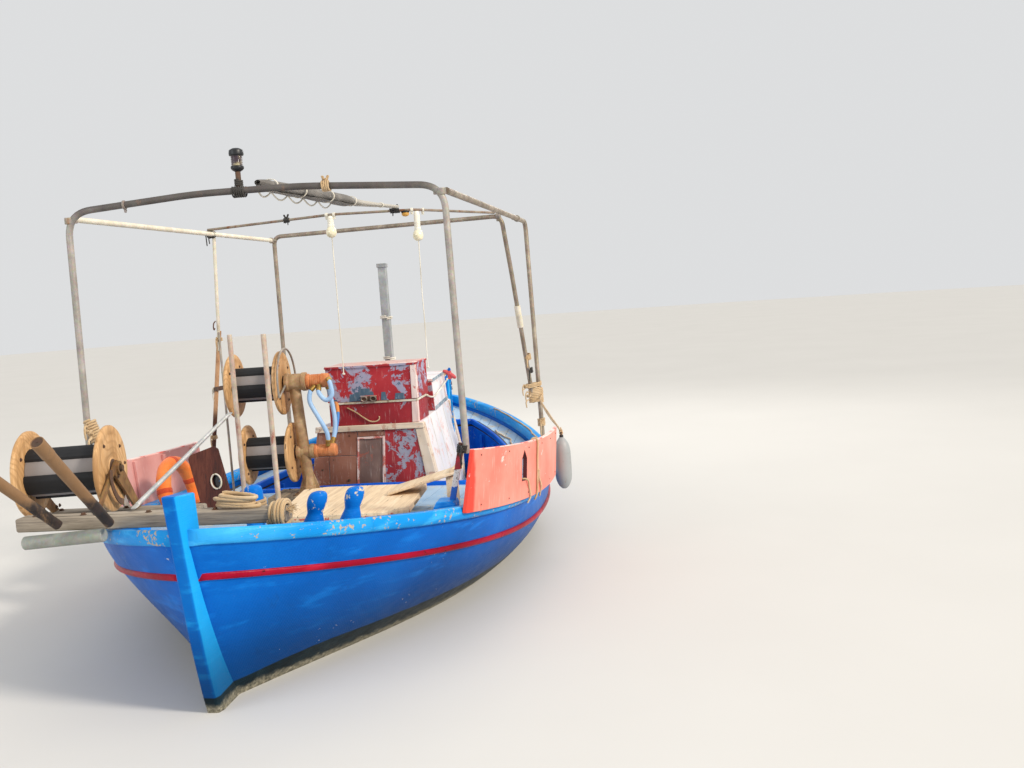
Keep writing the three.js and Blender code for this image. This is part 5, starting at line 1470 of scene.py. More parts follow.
def buildBoxTrim():
    fore, port, stbd = casing["boxFore"], casing["boxPort"], casing["boxStbd"]
    seamLow, seamHigh, cornerHigh, lidLow, lidHigh = 1.027, 1.0415, 1.024, 1.047, 1.286
    face = lambda y, z, out: np.stack([fore + out, y, z], -1)
    lidFace = lambda y, z, out: np.stack([fore + 0.006 + out, y, z], -1)
    side = lambda x, z, out: np.stack([x, port + out, z], -1)
    lidSide = lambda x, z, out: np.stack([x, port + 0.006 + out, z], -1)
    base = [boardOn(face, [(port - 0.04, 0.876), (port, 0.876), (port, cornerHigh), (port - 0.034, cornerHigh)],
                    0.006, 6, 0.001, 41),
            boardOn(side, oblong(fore + 0.004, fore - 0.045, 0.876, cornerHigh), 0.006, 6, 0.001, 42)]
    makePiece("BoxCorner", base, trimPaint, bevel=0.002)
    strip = [boardOn(face, oblong(stbd, port + 0.004, seamLow, seamHigh), 0.007, 12, 0.0008, 43),
             boardOn(side, oblong(fore + 0.004, -0.56, seamLow, seamHigh), 0.007, 9, 0.0008, 44)]
    makePiece("SeamStrip", strip, stripPaint, bevel=0.002)
    lid = [boardOn(lidFace, [(port - 0.03, lidLow), (port + 0.006, lidLow), (port + 0.006, lidHigh),
                             (port - 0.026, lidHigh)], 0.005, 6, 0.001, 45),
           boardOn(lidSide, oblong(fore + 0.01, fore - 0.045, lidLow, lidHigh), 0.0045, 6, 0.001, 46)]
    makePiece("LidCorner", lid, trimPaint, body="box_lid", bevel=0.002)
    # Bare slate-blue patches along the lid's lower edge: two ends across, foot and top
    patches = [(-0.285, -0.235, 1.0465, 1.066), (-0.115, 0.036, 1.086, 1.112), (-0.07, 0.014, 1.086, 1.136),
               (-0.15, -0.064, 1.0465, 1.1), (0.084, 0.128, 1.0465, 1.104), (0.186, 0.262, 1.0465, 1.09)]
    bare = [boardOn(lidFace, [(a, foot), (b, foot), (b - 0.006, top), (a + 0.008, top)], 0.001 + 0.0001 * k, 5,
                    0.0003, 60 + k, low=0.0002) for k, (a, b, foot, top) in enumerate(patches)]
    makePiece("LidPatches", bare, barePaint, body="box_lid")
    top = casing["lidTop"]
    capTop = lambda x, y, out: np.stack([x, y, top + out], -1)
    rims = [boardOn(capTop, [(-0.238, -0.314), (-0.238, 0.352), (-0.272, 0.352), (-0.272, -0.314)], 0.0035, 8,
                    0.0008, 47, low=-0.0003),
            boardOn(capTop, oblong(-0.275, -0.628, 0.352, 0.318), 0.003, 8, 0.0008, 48, low=-0.0003)]
    makePiece("LidRims", rims, trimPaint, body="box_lid", bevel=0.0015)
    # The double latch: a dark plate with two hoops, and two hinges at the back
    plate = [plateShape(roundedRectangle(0.118, 0.034, 0.006), (-0.2296, 0.0, 1.064), (0, 1, 0), (0, 0, 1), 0.0,
                        0.003)]
    hoops = []
    for y in (-0.034, 0.034):
        a = np.radians(np.linspace(0, 360, 41))[:-1]
        hoop = np.stack([-0.2225 + 0.004 * np.sin(a), y + 0.021 * np.cos(a), 1.062 + 0.017 * np.sin(a)], -1)
        hoops.append(sweptShape(hoop, circle(0.0042, 10), (1, 0, 0), closed=True))
        hoops.append(rodShape((-0.226, y - 0.024, 1.078), (-0.226, y + 0.024, 1.078), 0.005, 12))
    makePiece("LatchPlate", plate, rustySteel, body="box_lid", bevel=0.001)
    makePiece("LatchHoops", hoops, zinc, body="box_lid")
    rope = smoothThrough([(-0.243, -0.171, 1.004), (-0.241, -0.135, 0.985), (-0.24, -0.093, 0.958),
                          (-0.24, -0.05, 0.925), (-0.24, -0.005, 0.898), (-0.24, 0.04, 0.896),
                          (-0.24, 0.064, 0.915), (-0.241, 0.06, 0.932)], 60)
    makePiece("BoxRope", [ropeShape(rope, 0.005, 10)], beigeRope)
    for node, finish in (("box_base", boxPaint), ("box_lid", lidPaint)):
        dressNode(node, finish, 0.003)


# A line made fast along the casing's port side, from the box to the after end
def buildCasingLine():
    path = smoothThrough([(-0.56, 0.352, 1.03), (-0.64, 0.353, 1.012), (-0.76, 0.35, 0.996),
                          (-0.88, 0.346, 0.994), (-0.96, 0.341, 0.998), (-1.25, 0.322, 1.016),
                          (-1.5, 0.303, 1.034), (-1.684, 0.29, 1.046)], 80)
    shapes = [ropeShape(path, 0.007, 10)]
    for place, axis in (((-0.556, 0.346, 1.031), (0, 1, 0)), ((-1.68, 0.28, 1.046), (0.08, 1, 0))):
        shapes.append(turnedShape(capped([[0.009, 0], [0.009, 0.012], [0.004, 0.018]], 0.002), place, axis, 12))
    makePiece("CasingLine", shapes, whiteCord)


def buildFourthHose():
    path = smoothThrough([(-0.243, -0.27, 1.03), (-0.205, -0.24, 1.046), (-0.15, -0.213, 1.03),
                          (-0.08, -0.19, 0.965), (0.04, -0.172, 0.893), (0.15, -0.158, 0.842),
                          (0.236, -0.15, 0.826)], 80)
    split = 26
    makePiece("FourthHose", [sweptShape(path[split - 1:], circle(0.011, 18), (0.2, 0.2, 1))], hoseBlueDeep)
    makePiece("FourthHoseSleeve", [sweptShape(path[:split], circle(0.0125, 18), (0.2, 0.2, 1))], orangeSleeve)


stack = {"x": -0.962, "y": -0.015, "footPlate": 0.012, "turnsZ": (1.3, 1.62)}


def buildStack():
    dressNode("stack_post", stackGrey, 0.003)
    x, y, base = stack["x"], stack["y"], casing["tallTop"] + stack["footPlate"]
    bolts = boltGrid((x, y, base), (-0.04, 0.04), (-0.04, 0.04), 0.0045)
    makePiece("StackBolts", bolts, zinc)
    turns = []
    for height in stack["turnsZ"]:
        path = windingPath((x, y, height), (0, 0, 1), (1, 0, 0), 0.045, 0.045, 2.0, 0.012, 0.3)
        turns.append(ropeShape(path, 0.005, 10))
    makePiece("StackTurns", turns, whiteCord)


engine = {"aft": -1.41, "fore": -0.89, "top": 0.6902, "cover": (0.5, 0.26, 0.02), "coverHeight": 0.014, "caps": 4}


# A cover plate on the engine block with a row of round caps
def buildEngineTrim():
    aft, fore, top = engine["aft"], engine["fore"], engine["top"]
    shapes = [plateShape(roundedRectangle(*engine["cover"]), ((aft + fore) / 2, 0, top), (1, 0, 0), (0, 1, 0), 0,
                         engine["coverHeight"])]
    for x in np.linspace(aft + 0.08, fore - 0.08, engine["caps"]):
        shapes.append(turnedShape(capped([[0.034, 0], [0.034, 0.03], [0.02, 0.042]], 0.004),
                                  (x, 0.0, top + 0.013), (0, 0, 1), 24))
    makePiece("EngineCover", shapes, engineIron, bevel=0.003)


panelPaint = flaked("PanelRed", "#8e1e28 #a82a30 #bc4440 #8a90a4 #a8a2ae #66708a #7f7c8a", amount=(0.52, 0.6),
                    seed=9.0, stain=0.25)
lidPaint = flaked("LidRed", "#8e1420 #ac202c #c23c40 #b8a8bc #8c98b4 #4c6480 #5a7088", amount=(0.52, 0.615),
                  seed=11.0, stain=0.15, topTone="#dcb8ac")
barePaint = flaked("BareSlate", "#3c5468 #4c677c #64809a #8a9cb4 #a8b4cc #8e2830 #a83c40", amount=(0.56, 0.66),
                   seed=15.0, stain=0.1)
slatePaint = flaked("SlateStrip", "#5f7688 #6f8698 #8a9caa #b9c0c4 #9aa4ac #7a7066 #8f867a", seed=12.0)
stripPaint = flaked("StripCream", "#cfc6b4 #ddd6c6 #ebe6da #b3a68e #c9bca4 #8a7a66 #a08c74", seed=13.0)
stackGrey = metal("StackGrey", "#8d9193 #a6a9aa #bdbfbf", 0.7, 0.5, 0.4)
hoseBlueDeep = moulded("HoseDeepBlue", "#3a78c0", "#5a94d2", 0.42, amount=0.6, dust="#4a5a70", grain=90)
for node in ("casing_low", "casing_tall"):
    dressNode(node, sidePaint, 0.004)
dressNode("engine_block", engineIron, 0.012)
buildFront()
buildSideTrim()
buildTallTrim()
buildBoxTrim()
buildCasingLine()
buildFourthHose()
buildStack()
buildEngineTrim()
print("casings built")


# The pipe frame: each pipe's corners, its radius, the length of its bends, its node and its section's side
pipes = {
    "FrontArch": ([(1.573, 1.02, 0.93), (1.553, 1.0, 2.33), (1.609, 0.25, 2.378), (1.649, -0.3, 2.378),
                   (1.685, -1.005, 2.33), (1.685, -1.025, 1.09)], 0.0178, 0.13, "front_arch", (1, 0, 0)),
    "RailPort": ([(1.53, 1.008, 2.3), (-1.336, 1.086, 2.3), (-1.255, 1.122, 0.575)], 0.0178, 0.09,
                 "frame_rail_port", (0, 1, 0)),
    "RailStbd": ([(1.662, -0.995, 2.3), (-1.221, -0.98, 2.3)], 0.0158, 0.0, "frame_rail_stbd", (0, 1, 0.1)),
    "BackArch": ([(-1.215, 1.07, 0.86), (-0.995, 0.992, 1.9), (-0.915, 0.952, 2.33), (-1.244, -0.975, 2.33),
                  (-1.244, -0.985, 0.452)], 0.017, 0.07, "back_arch", (1, 0, 0.2)),
    "MidCross": ([(-0.07, -1.015, 2.331), (0.0, -0.09, 2.362), (-0.14, 0.46, 2.362), (-0.925, 0.9, 2.358)],
                 0.009, 0.04, "mid_cross", (0, 0, 1)),
    "MidPost": ([(-0.1, -0.987, 2.281), (-0.096, -1.025, 1.48)], 0.012, 0.0, "mid_post", (1, 0, 0)),
}


# A pipe clamp: a short sleeve round a pipe with a bolted ear
def clampShapes(place, axis, radius, ear=(0, 0, 1), length=0.034):
    axis = unit(axis)
    start = np.asarray(place, float) - axis * length / 2
    sleeve = capped([[radius + 0.0045, 0], [radius + 0.0055, 0.004], [radius + 0.0055, length - 0.004],
                     [radius + 0.0045, length]], 0.001)
    ear = np.asarray(ear, float)
    ear = unit(ear - np.sum(ear * axis) * axis)
    middle = np.asarray(place, float) + ear * (radius + 0.01)
    plate = plateShape(roundedRectangle(length * 0.9, 0.024, 0.004), middle, axis, ear, -0.004, 0.004)
    across = np.cross(axis, ear)
    return [turnedShape(sleeve, start, axis, 24), plate, *boltShapes(middle + 0.004 * across, across, 0.005)]


# Rope wound round one or two pipes, with a rough knot and two short tails
def lashingShapes(centre, axis, side, halfSide, halfOther, turns, radius, seed=1):
    path = windingPath(centre, axis, side, halfSide, halfOther, turns, radius * 1.9, 0.4 * seed, 26)
    rng = np.random.default_rng(seed)
    path = path + 0.18 * radius * rng.uniform(-1, 1, path.shape)
    shapes = [ropeShape(path, radius, 10, (0.3, 0.2, 1))]
    axis = unit(axis)
    side = unit(np.asarray(side, float) - np.sum(np.asarray(side, float) * axis) * axis)
    for sign in (1, -1):
        start = np.asarray(centre) + (halfSide + radius) * side + sign * 0.4 * turns * radius * axis
        tail = smoothThrough([start, start + 0.02 * side + 0.01 * sign * axis, start + 0.035 * side - [0, 0, 0.022],
                              start + 0.03 * side - [0, 0, 0.06 + 0.03 * rng.uniform()]], 22)
        shapes.append(ropeShape(tail, radius * 0.85, 9, (0.3, 1, 0.1)))
    shapes.append(knotShape(np.asarray(centre) + (halfSide + radius) * side, 2.4 * radius, radius * 0.9))
    return shapes


# Each clamp: place, the pipe's direction and radius, where its ear points, and a length where it isn't the usual
pipeClamps = [
    ((1.552, 0.985, 2.297), (0.05, 0, 1), 0.02, (0, -1, 0)),
    ((1.682, -0.998, 2.29), (0.02, 0.02, 1), 0.02, (0, 1, 0)),
    ((-0.905, 1.074, 2.3), (1, 0, 0), 0.02, (0, -1, 0)),
    ((-1.2, -0.98, 2.3), (1, 0, 0), 0.018, (0, 1, 0)),
    ((-0.92, 0.93, 2.331), (-0.17, -0.98, 0), 0.018, (0, 0, -1)),
    ((1.668, -0.69, 2.351), (-0.05, 1, 0.07), 0.019, (0, 0, -1), 0.012),
    ((-0.084, -0.996, 2.314), (0.1, 1, 0.03), 0.009, (0, 0, -1)),
]


def pipeRoute(name):
    corners, radius, bend, _, _ = pipes[name]
    return bentPath(corners, bend or 0.001, 0.02), radius


def buildPipes():
    finishes = {"FrontArch": archZincShadedTop, "RailPort": zinc, "RailStbd": creamPipe, "BackArch": zinc,
                "MidCross": rustyPipe, "MidPost": creamPipe}
    for name, (_, _, _, node, side) in pipes.items():
        route, radius = pipeRoute(name)
        makePiece(name + "Pipe", [sweptShape(route, circle(radius, 28), side)], finishes[name],
                  replaced=[node])
    lower = [(-0.104, -1.016, 1.62), (-0.08, -1.184, 0.44)]
    makePiece("MidPostLower", [rodShape(*lower, 0.015, 26)], midRust)
    makePiece("ThinPole", [rodShape((-0.078, -1.01, 1.61), (0.1, -0.931, 0.447), 0.008, 16)], wornZinc)
    clamps = [shape for clamp in pipeClamps for shape in clampShapes(*clamp)]
    makePiece("PipeClamps", clamps, wornZinc)


# The arch's feet, each a flat stanchion on a bevelled block: where the arch ends, how far in its block stands and
# how high it is, the offsets of the stanchion's heel and head, its section, and its lashing
feet = {
    "port": {"side": 1, "end": (1.573, 1.02, 0.93), "blockIn": 0.108, "blockTop": 0.138, "heelOut": 0.03,
             "headIn": 0.0235, "headUp": 0.055, "section": (0.012, 0.032, 0.002), "turns": 5, "rope": 0.0045},
    "stbd": {"side": -1, "end": (1.685, -1.025, 1.09), "blockIn": 0.135, "blockTop": 0.11, "heelOut": 0.0,
             "headIn": 0.0265, "headUp": 0.13, "section": (0.044, 0.012, 0.002), "turns": 9, "rope": 0.0075},
}


def buildFeet():
    for name, foot in feet.items():
        side, (x, y, z) = foot["side"], foot["end"]
        heel = side * (halfAt(x + 0.06) - foot["blockIn"])
        base = deckHeight(x, heel) + deckSkin
        top = sheerHeight(x) - hull["deckDrop"] + foot["blockTop"]
        block = [[-0.068, base], [0.056, base], [0.056, top - 0.018], [0.044, top], [-0.046, top],
                 [-0.068, top - 0.042]]
        shape = plateShape(block, (x, heel, 0), (0, side, 0), (0, 0, 1), -0.06, 0.06)
        makePiece(f"ArchBlock_{name}", [shape], blockPaint, bevel=0.007, segments=3)
        start = np.array((x, heel + foot["heelOut"], top - 0.012))
        end = np.array((x, y - side * foot["headIn"], z + foot["headUp"]))
        path = start + (end - start) * np.linspace(0, 1, 14)[:, None]
        section = roundedRectangle(*foot["section"])
        makePiece(f"ArchStanchion_{name}", [sweptShape(path, section, (1, 0, 0))],
                  stanchionPaint if side > 0 else wornZinc)
        bolts = []
        for share in (0.8, 0.93):
            bolts += boltShapes(start + share * (end - start) - side * np.array((0, 0.006, 0)), (0, -side, 0),
                                0.007)
        makePiece(f"ArchBolts_{name}", bolts, rustySteel)
        knot = lashingShapes(start + 0.9 * (end - start) + np.array((0, side * 0.01, 0)), end - start, (1, 0, 0),
                             0.03, 0.027, foot["turns"], foot["rope"], 3 + side)
        makePiece(f"FootLashing_{name}", knot, darkCordage if side > 0 else beigeRope)


def buildStay():
    x, z = hauler["x"], hauler["upperZ"]
    ring = haulerSwing @ Vector((x, -0.786, z))
    axis = haulerSwing @ Vector((x, -1.786, z)) - ring
    wall = rounded([[0.0215, -0.007], [0.036, -0.007], [0.036, 0.007], [0.0215, 0.007]], 0.001)
    points, _ = turnedShape(wall, tuple(ring), tuple(axis), 32)
    shapes = [hoopShape(points.reshape(len(wall), 32, 3))]
    post = np.array((-0.089, -1.095, 1.205))
    start = np.array(ring) + 0.034 * unit(post - np.array(ring))
    path = start + (post - start) * np.linspace(0, 1, 12)[:, None]
    shapes.append(sweptShape(path, roundedRectangle(0.01, 0.03, 0.003), (0, 1, 0)))
    makePiece("DrumStay", shapes, rustySteel)
    makePiece("StayLashing", lashingShapes((-0.094, -1.078, 1.205), (0, -0.14, 0.99), (1, 0, 0), 0.022, 0.024, 3,
                                           0.0045, 2), whiteCord)


# Lamps under the mid cross: each bulb's place along and across, its lowest point and its holder's top
lamps = {
    "stbd": (-0.002, -0.1, 2.208, 2.358), "port": (-0.148, 0.47, 2.15, 2.356),
    "amber": (-0.135, 0.395, 2.318),
}


def buildLamps():
    for name in ("stbd", "port"):
        x, y, bottom, top = lamps[name]
        globe = rounded([[0, -0.004], [0.015, -0.002], [0.029, 0.007], [0.036, 0.024], [0.036, 0.044],
                         [0.029, 0.062], [0.021, 0.072], [0, 0.072]], 0.008)
        makePiece(f"Bulb_{name}", [turnedShape(globe, (x, y, bottom), (0, 0, 1), 32)], bulbGlass)
        height = top - bottom
        holder = capped([[0.0215, 0.068], [0.0235, 0.072], [0.0235, 0.084], [0.0205, 0.09], [0.0205, height - 0.03],
                         [0.0165, height - 0.012], [0.012, height - 0.004]], 0.003)
        shapes = [turnedShape(holder, (x, y, bottom), (0, 0, 1), 32)]
        for k in range(4):
            z = bottom + 0.096 + 0.01 * k
            rib = np.array([[0, 0], [0.0215, 0], [0.0222, 0.002], [0.0215, 0.004], [0, 0.004]])
            shapes.append(turnedShape(rib, (x, y, z), (0, 0, 1), 32))
        makePiece(f"Holder_{name}", shapes, holderCeramic)
    # A small amber lamp clipped under the bar beside the port bulb
    amber = lamps["amber"]
    dome = rounded([[0, 0], [0.02, 0.004], [0.027, 0.016], [0.027, 0.028], [0, 0.028]], 0.006)
    makePiece("AmberLens", [turnedShape(dome, amber, (0, 0, 1), 28)], amberGlass)
    cap = capped([[0.029, 0], [0.029, 0.008], [0.018, 0.016]], 0.002)
    makePiece("AmberCap", [turnedShape(cap, (amber[0], amber[1], amber[2] + 0.028), (0, 0, 1), 28)], blackShell)
    clips = []
    for y, x in ((0.44, -0.136), (0.5, -0.215), (-0.075, -0.01), (-0.125, -0.004)):
        clips += clampShapes((x, y, 2.361), (0.3, -1, 0) if y > 0 else (0.05, 1, 0), 0.0095, (0, 0, -1), 0.02)
    makePiece("LampClips", clips, whitePlastic)


navLight = {"place": (1.622, -0.07, 2.399), "turnsZ": 2.418, "archTurns": (1.626, -0.07, 2.372)}


def buildNavLight():
    place = navLight["place"]
    stem = capped([[0.014, 0], [0.014, 0.08]], 0.001)
    makePiece("NavStem", [turnedShape(stem, place, (0, 0, 1), 24)], rustySteel,
              replaced=["nav_light"])
    foot = capped([[0.016, 0.078], [0.028, 0.086], [0.034, 0.094], [0.034, 0.103], [0.031, 0.108]], 0.002)
    top = capped([[0.033, 0.158], [0.038, 0.163], [0.038, 0.172], [0.036, 0.188], [0.024, 0.195], [0.018, 0.198]],
                 0.003)
    makePiece("NavShell", [turnedShape(foot, place, (0, 0, 1), 36), turnedShape(top, place, (0, 0, 1), 36)],
              blackShell)
    z = 0.107 + 0.052 * np.linspace(0, 1, 37)
    lens = np.stack([0.0292 + 0.0013 * np.cos(2 * np.pi * 6 * np.linspace(0, 1, 37)), z], -1)
    lens = np.concatenate([[[0, z[0]]], lens, [[0, z[-1]]]])
    makePiece("NavLens", [turnedShape(lens, place, (0, 0, 1), 36)], lampGlass, sharp=60)
    turns = windingPath((*place[:2], navLight["turnsZ"]), (0, 0, 1), (1, 0, 0), 0.019, 0.019, 4, 0.009, 0.5)
    makePiece("NavTurnsDark", [ropeShape(turns, 0.0048, 10)], darkCordage)
    arch = windingPath(navLight["archTurns"], (0.06, -1, 0.0), (0, 0, 1), 0.0255, 0.0255, 6, 0.0115, 0.2)
    makePiece("NavTurnsArch", [ropeShape(arch, 0.0052, 10, (0, 1, 0))], darkCordage)


# The furled awning: cloth wound in a loose spiral round a line of places, its girth shrinking aft
awning = {
    # x, y, z, half width, half height
    "stations": [(1.572, 0.005, 2.424, 0.014, 0.012), (1.46, 0.014, 2.418, 0.056, 0.038),
                 (1.1, 0.055, 2.414, 0.06, 0.042), (0.4, 0.13, 2.412, 0.064, 0.044),
                 (0.25, 0.165, 2.404, 0.033, 0.025), (-0.04, 0.33, 2.388, 0.0155, 0.0125),
                 (-0.088, 0.372, 2.385, 0.0115, 0.0105)],
    "turns": 1.65, "core": 0.42, "thickness": 0.0014, "rows": 110, "columns": 120,
    "cuts": (0.1, 0.3, 0.52, 0.73, 0.9), "pinch": 0.16, "pinchReach": 0.018, "tieRadius": 0.0026,
    # lacing: where it starts and ends as shares of the roll, its scallops and how deep they hang
    "laceStart": 0.03, "laceEnd": 0.62, "laceRun": 0.59, "scallops": 5, "scallopDepth": 0.036, "laceRadius": 0.005,
}


def buildAwning(a):
    stations = np.array(a["stations"])
    along = np.linspace(0, 1, a["rows"])
    knots = lengthAlong(stations[:, :3])
    line = np.stack([np.interp(along, knots / knots[-1], stations[:, k]) for k in range(5)], -1)
    kernel = np.ones(9) / 9
    padded = np.concatenate([np.repeat(line[:1], 4, 0), line, np.repeat(line[-1:], 4, 0)])
    line = np.stack([np.convolve(padded[:, k], kernel, "valid") for k in range(5)], -1)
    pinch = 1 - a["pinch"] * sum(np.exp(-((along - cut) / a["pinchReach"])**2) for cut in a["cuts"])
    share = np.linspace(0, 1, a["columns"])[None]
    angle = 2 * np.pi * a["turns"] * share + 0.9 + 0.5 * np.sin(3 * along)[:, None]
    reach = (a["core"] + (1 - a["core"]) * share)
    creases = 1 - 0.05 * (1 + np.sin(9 * angle / a["turns"] + 21 * along[:, None] + 2
                                     * np.sin(13 * along)[:, None])) * share
    creases = creases - 0.035 * (1 + ripple(14 * along[:, None] + 2.2 * angle, 5)) * share
    wide = line[:, 3, None] * reach * creases * pinch[:, None]
    tall = line[:, 4, None] * reach * creases * pinch[:, None]
    middle = np.stack([np.broadcast_to(line[:, :1], wide.shape), line[:, 1, None] + wide * np.cos(angle),
                       line[:, 2, None] + tall * np.sin(angle)], -1)
    rowStep, columnStep = np.gradient(middle, axis=0), np.gradient(middle, axis=1)
    normal = unit(np.cross(rowStep, columnStep))
    half = a["thickness"] / 2
    piece = makePiece("AwningCloth", [slabShape(middle + half * normal, middle - half * normal)], canvas,
                      replaced=["awning_roll"], sharp=60)
    quads = np.cross(middle[1:, 1:] - middle[:-1, :-1], middle[1:, :-1] - middle[:-1, 1:])
    area = float(np.linalg.norm(quads, axis=-1).sum() / 2)
    ties = []
    for cut in a["cuts"]:
        row = int(cut * (a["rows"] - 1))
        w, t = (line[row, k] * pinch[row] * 0.97 + 0.002 for k in (3, 4))
        ties.append(ropeShape(windingPath(line[row, :3], (1, -0.1, 0), (0, 1, 0), w, t, 2.0, 0.007, cut * 9),
                              a["tieRadius"], 8, (1, 0, 0)))
    tiePiece = makePiece("AwningTies", ties, whiteCord)
    # Lacing that hangs under the roll in scallops from tie to tie
    s = np.linspace(a["laceStart"], a["laceEnd"], 130)
    hang = np.abs(np.sin(np.pi * (s - a["laceStart"]) / a["laceRun"] * a["scallops"]))
    lace = np.stack([np.interp(s, along, line[:, 0]), np.interp(s, along, line[:, 1] - 0.75 * line[:, 3]),
                     np.interp(s, along, line[:, 2] - 0.62 * line[:, 4]) - a["scallopDepth"] * hang + 0.002], -1)
    lacePiece = makePiece("AwningLacing", [ropeShape(lace, a["laceRadius"], 9)], whiteCord)


# Turns of line on the frame, by rope: place, axis, side, half sizes, turns, thickness, seed
frameLashings = {
    "Beige": [((-1.236, 1.092, 0.915), (0, 0, 1), (0.72, -0.69, 0), 0.066, 0.03, 9, 0.007, 5),
              ((-1.214, 1.08, 1.0), (0.1, 0, 1), (0.72, -0.69, 0), 0.075, 0.031, 3, 0.006, 8),
              ((-1.15, 1.055, 1.23), (0.2, -0.07, 1), (1, 0, 0), 0.024, 0.024, 4, 0.006, 9),
              ((1.603, 0.39, 2.368), (-0.07, 1, 0.0), (0, 0, 1), 0.0255, 0.0255, 4, 0.0055, 11),
              ((-0.1, -1.02, 1.56), (0, -0.1, 1), (1, 0, 0), 0.02, 0.02, 3, 0.0045, 14),
              ((-0.0885, -1.124, 0.862), (0, -0.14, 1), (1, 0, 0), 0.02, 0.02, 3, 0.0048, 16),
              ((-1.244, -0.982, 0.62), (0, 0, 1), (1, 0, 0), 0.023, 0.023, 4, 0.006, 15)],
    "Dark": [((-1.18, 1.063, 1.12), (0.2, -0.07, 1), (1, 0, 0), 0.021, 0.021, 5, 0.0045, 6),
             ((-0.03, -0.42, 2.35), (0.05, 1, 0.03), (0, 0, 1), 0.014, 0.014, 5, 0.0045, 7),
             ((-0.098, 0.33, 2.362), (-0.2, 1, 0), (0, 0, 1), 0.014, 0.014, 7, 0.005, 12),
             ((-0.085, -1.0, 2.3), (0, 1, 0.1), (1, 0, 0), 0.024, 0.024, 5, 0.005, 10)],
}


def buildFrameLashings():
    for name, rope in (("Beige", beigeRope), ("Dark", darkCordage)):
        shapes = []
        for turns in frameLashings[name]:
            shapes += lashingShapes(*turns)
        makePiece(f"Lashings{name}", shapes, rope)
    sleeve = [openPipe((-1.086, 1.024, 1.47), (-1.05, 1.0115, 1.64), 0.0245, 0.0175)]
    makePiece("AftSleeve", sleeve, creamPipe)
    # A small hook and eye on the mid post
    hook = smoothThrough([(-0.085, -1.03, 1.69), (-0.06, -1.032, 1.676), (-0.052, -1.034, 1.65),
                          (-0.064, -1.036, 1.63), (-0.078, -1.036, 1.64)], 24)
    makePiece("MidHook", [sweptShape(hook, circle(0.0042, 10), (0, 1, 0))], rustySteel)


# The arch's pipe: above about 2.3 m, on its top bar, it is painted dark grey as shade on the bar's underside
archZincShadedTop = metal("ArchPipeShadedTop", "#928b84 #aba49c #c5beb6", 0.66, 0.45, 0.4, "#7a5840 #a88060",
                 change=(2.26, 2.36, "#484240"))
blockPaint = gloss("BlockBlue", "#1c8cec #1078d8 #50b0f8", chip="#d6d2c4", chips=0.66)


# Bands of colour up the flat stanchion: blue foot, worn white middle, red top
def bandedPaint():
    f = Finish("StanchionBands", 0.55)
    height = f.sum(f.axis("Z"), f.wander(40, 4, 0.03))
    colour = f.blend(f.step(height, 0.752, 0.758), "#2468c4", "#e6e4de")
    colour = f.blend(f.step(height, 0.842, 0.848), colour, "#a0202c")
    colour = f.blend(f.step(height, 0.915, 0.93), colour, "#5b3024")
    colour = f.blend(f.times(f.step(f.noise(60, 6, 0.7), 0.56, 0.62), 0.8), colour, "#4a3a34")
    f.relief(f.noise(90, 4), 0.0008, 0.5)
    f.rough(f.noise(25, 3), 0.4, 0.75)
    return f.done(colour)


stanchionPaint = bandedPaint()
buildPipes()
buildFeet()
buildStay()
buildLamps()
buildNavLight()
buildAwning(awning)
buildFrameLashings()
print("frame and awning built")


boards = {
    # side, fore and aft ends; the board stands on the rail's outer face and leans out
    "port": (1, 1.7, -0.05), "stbd": (-1, 1.33, -0.25),
    "thickness": 0.022, "height": 0.33, "lean": 0.026, "railOut": 0.041,
    # slot: middle along the boat, half length, shares of the height at its foot, shoulder and tip
    "rake": 0.03,  # how far the port board's fore edge leans aft, up or down from its middle
    "portSlot": (1.055, 0.042, 0.33, 0.72, 0.87), "stbdSlot": (1.0, 0.055, 0.2, 0.8, 0.86),
}


# A place on a weather board: along the boat, share of its height, and how far out from its inner face
def boardPlace(side, x, share, out):
    y = halfAt(x) + boards["railOut"] + boards["lean"] * share + out
    return np.stack([x, side * y, sheerHeight(x) + boards["height"] * share], -1)


# A board with one slot: rings in its own two parameters that grow from the slot to the edge, out and back
def slottedBoard(side, fore, aft, slotX, half, foot, shoulder, tip):
    rake = boards["rake"] if side > 0 else 0.0
    edge = bentPath([(aft, 0, 0), (fore + rake, 0, 0), (fore - rake, 1, 0), (aft, 1, 0), (aft, 0, 0)], 0.0005,
                    0.02)[:-1, :2]
    slotEdge = np.array([(slotX - half, foot), (slotX + half, foot), (slotX + half, shoulder), (slotX, tip),
                         (slotX - half, shoulder)])
    middle = np.array((slotX, (foot + shoulder) / 2))
    aim = edge - middle
    nextEdge = np.roll(slotEdge, -1, 0) - slotEdge
    # where a ray from the slot's middle meets each of the slot's sides: the nearest crossing ahead
    cross = aim[:, None, 0] * nextEdge[None, :, 1] - aim[:, None, 1] * nextEdge[None, :, 0]
    gap = slotEdge - middle
    along = (gap[None, :, 0] * nextEdge[None, :, 1] - gap[None, :, 1] * nextEdge[None, :, 0]) / cross
    hole = middle + aim * np.where(along > 1e-6, along, 9).min(1)[:, None]
    share = np.linspace(0, 1, 14)[:, None, None]
    flat = hole[None] + (edge - hole)[None] * share
    outer = boardPlace(side, flat[..., 0], flat[..., 1], boards["thickness"])
    inner = boardPlace(side, flat[..., 0], flat[..., 1], 0.0)
    return hoopShape(np.concatenate([outer, inner[::-1]]))


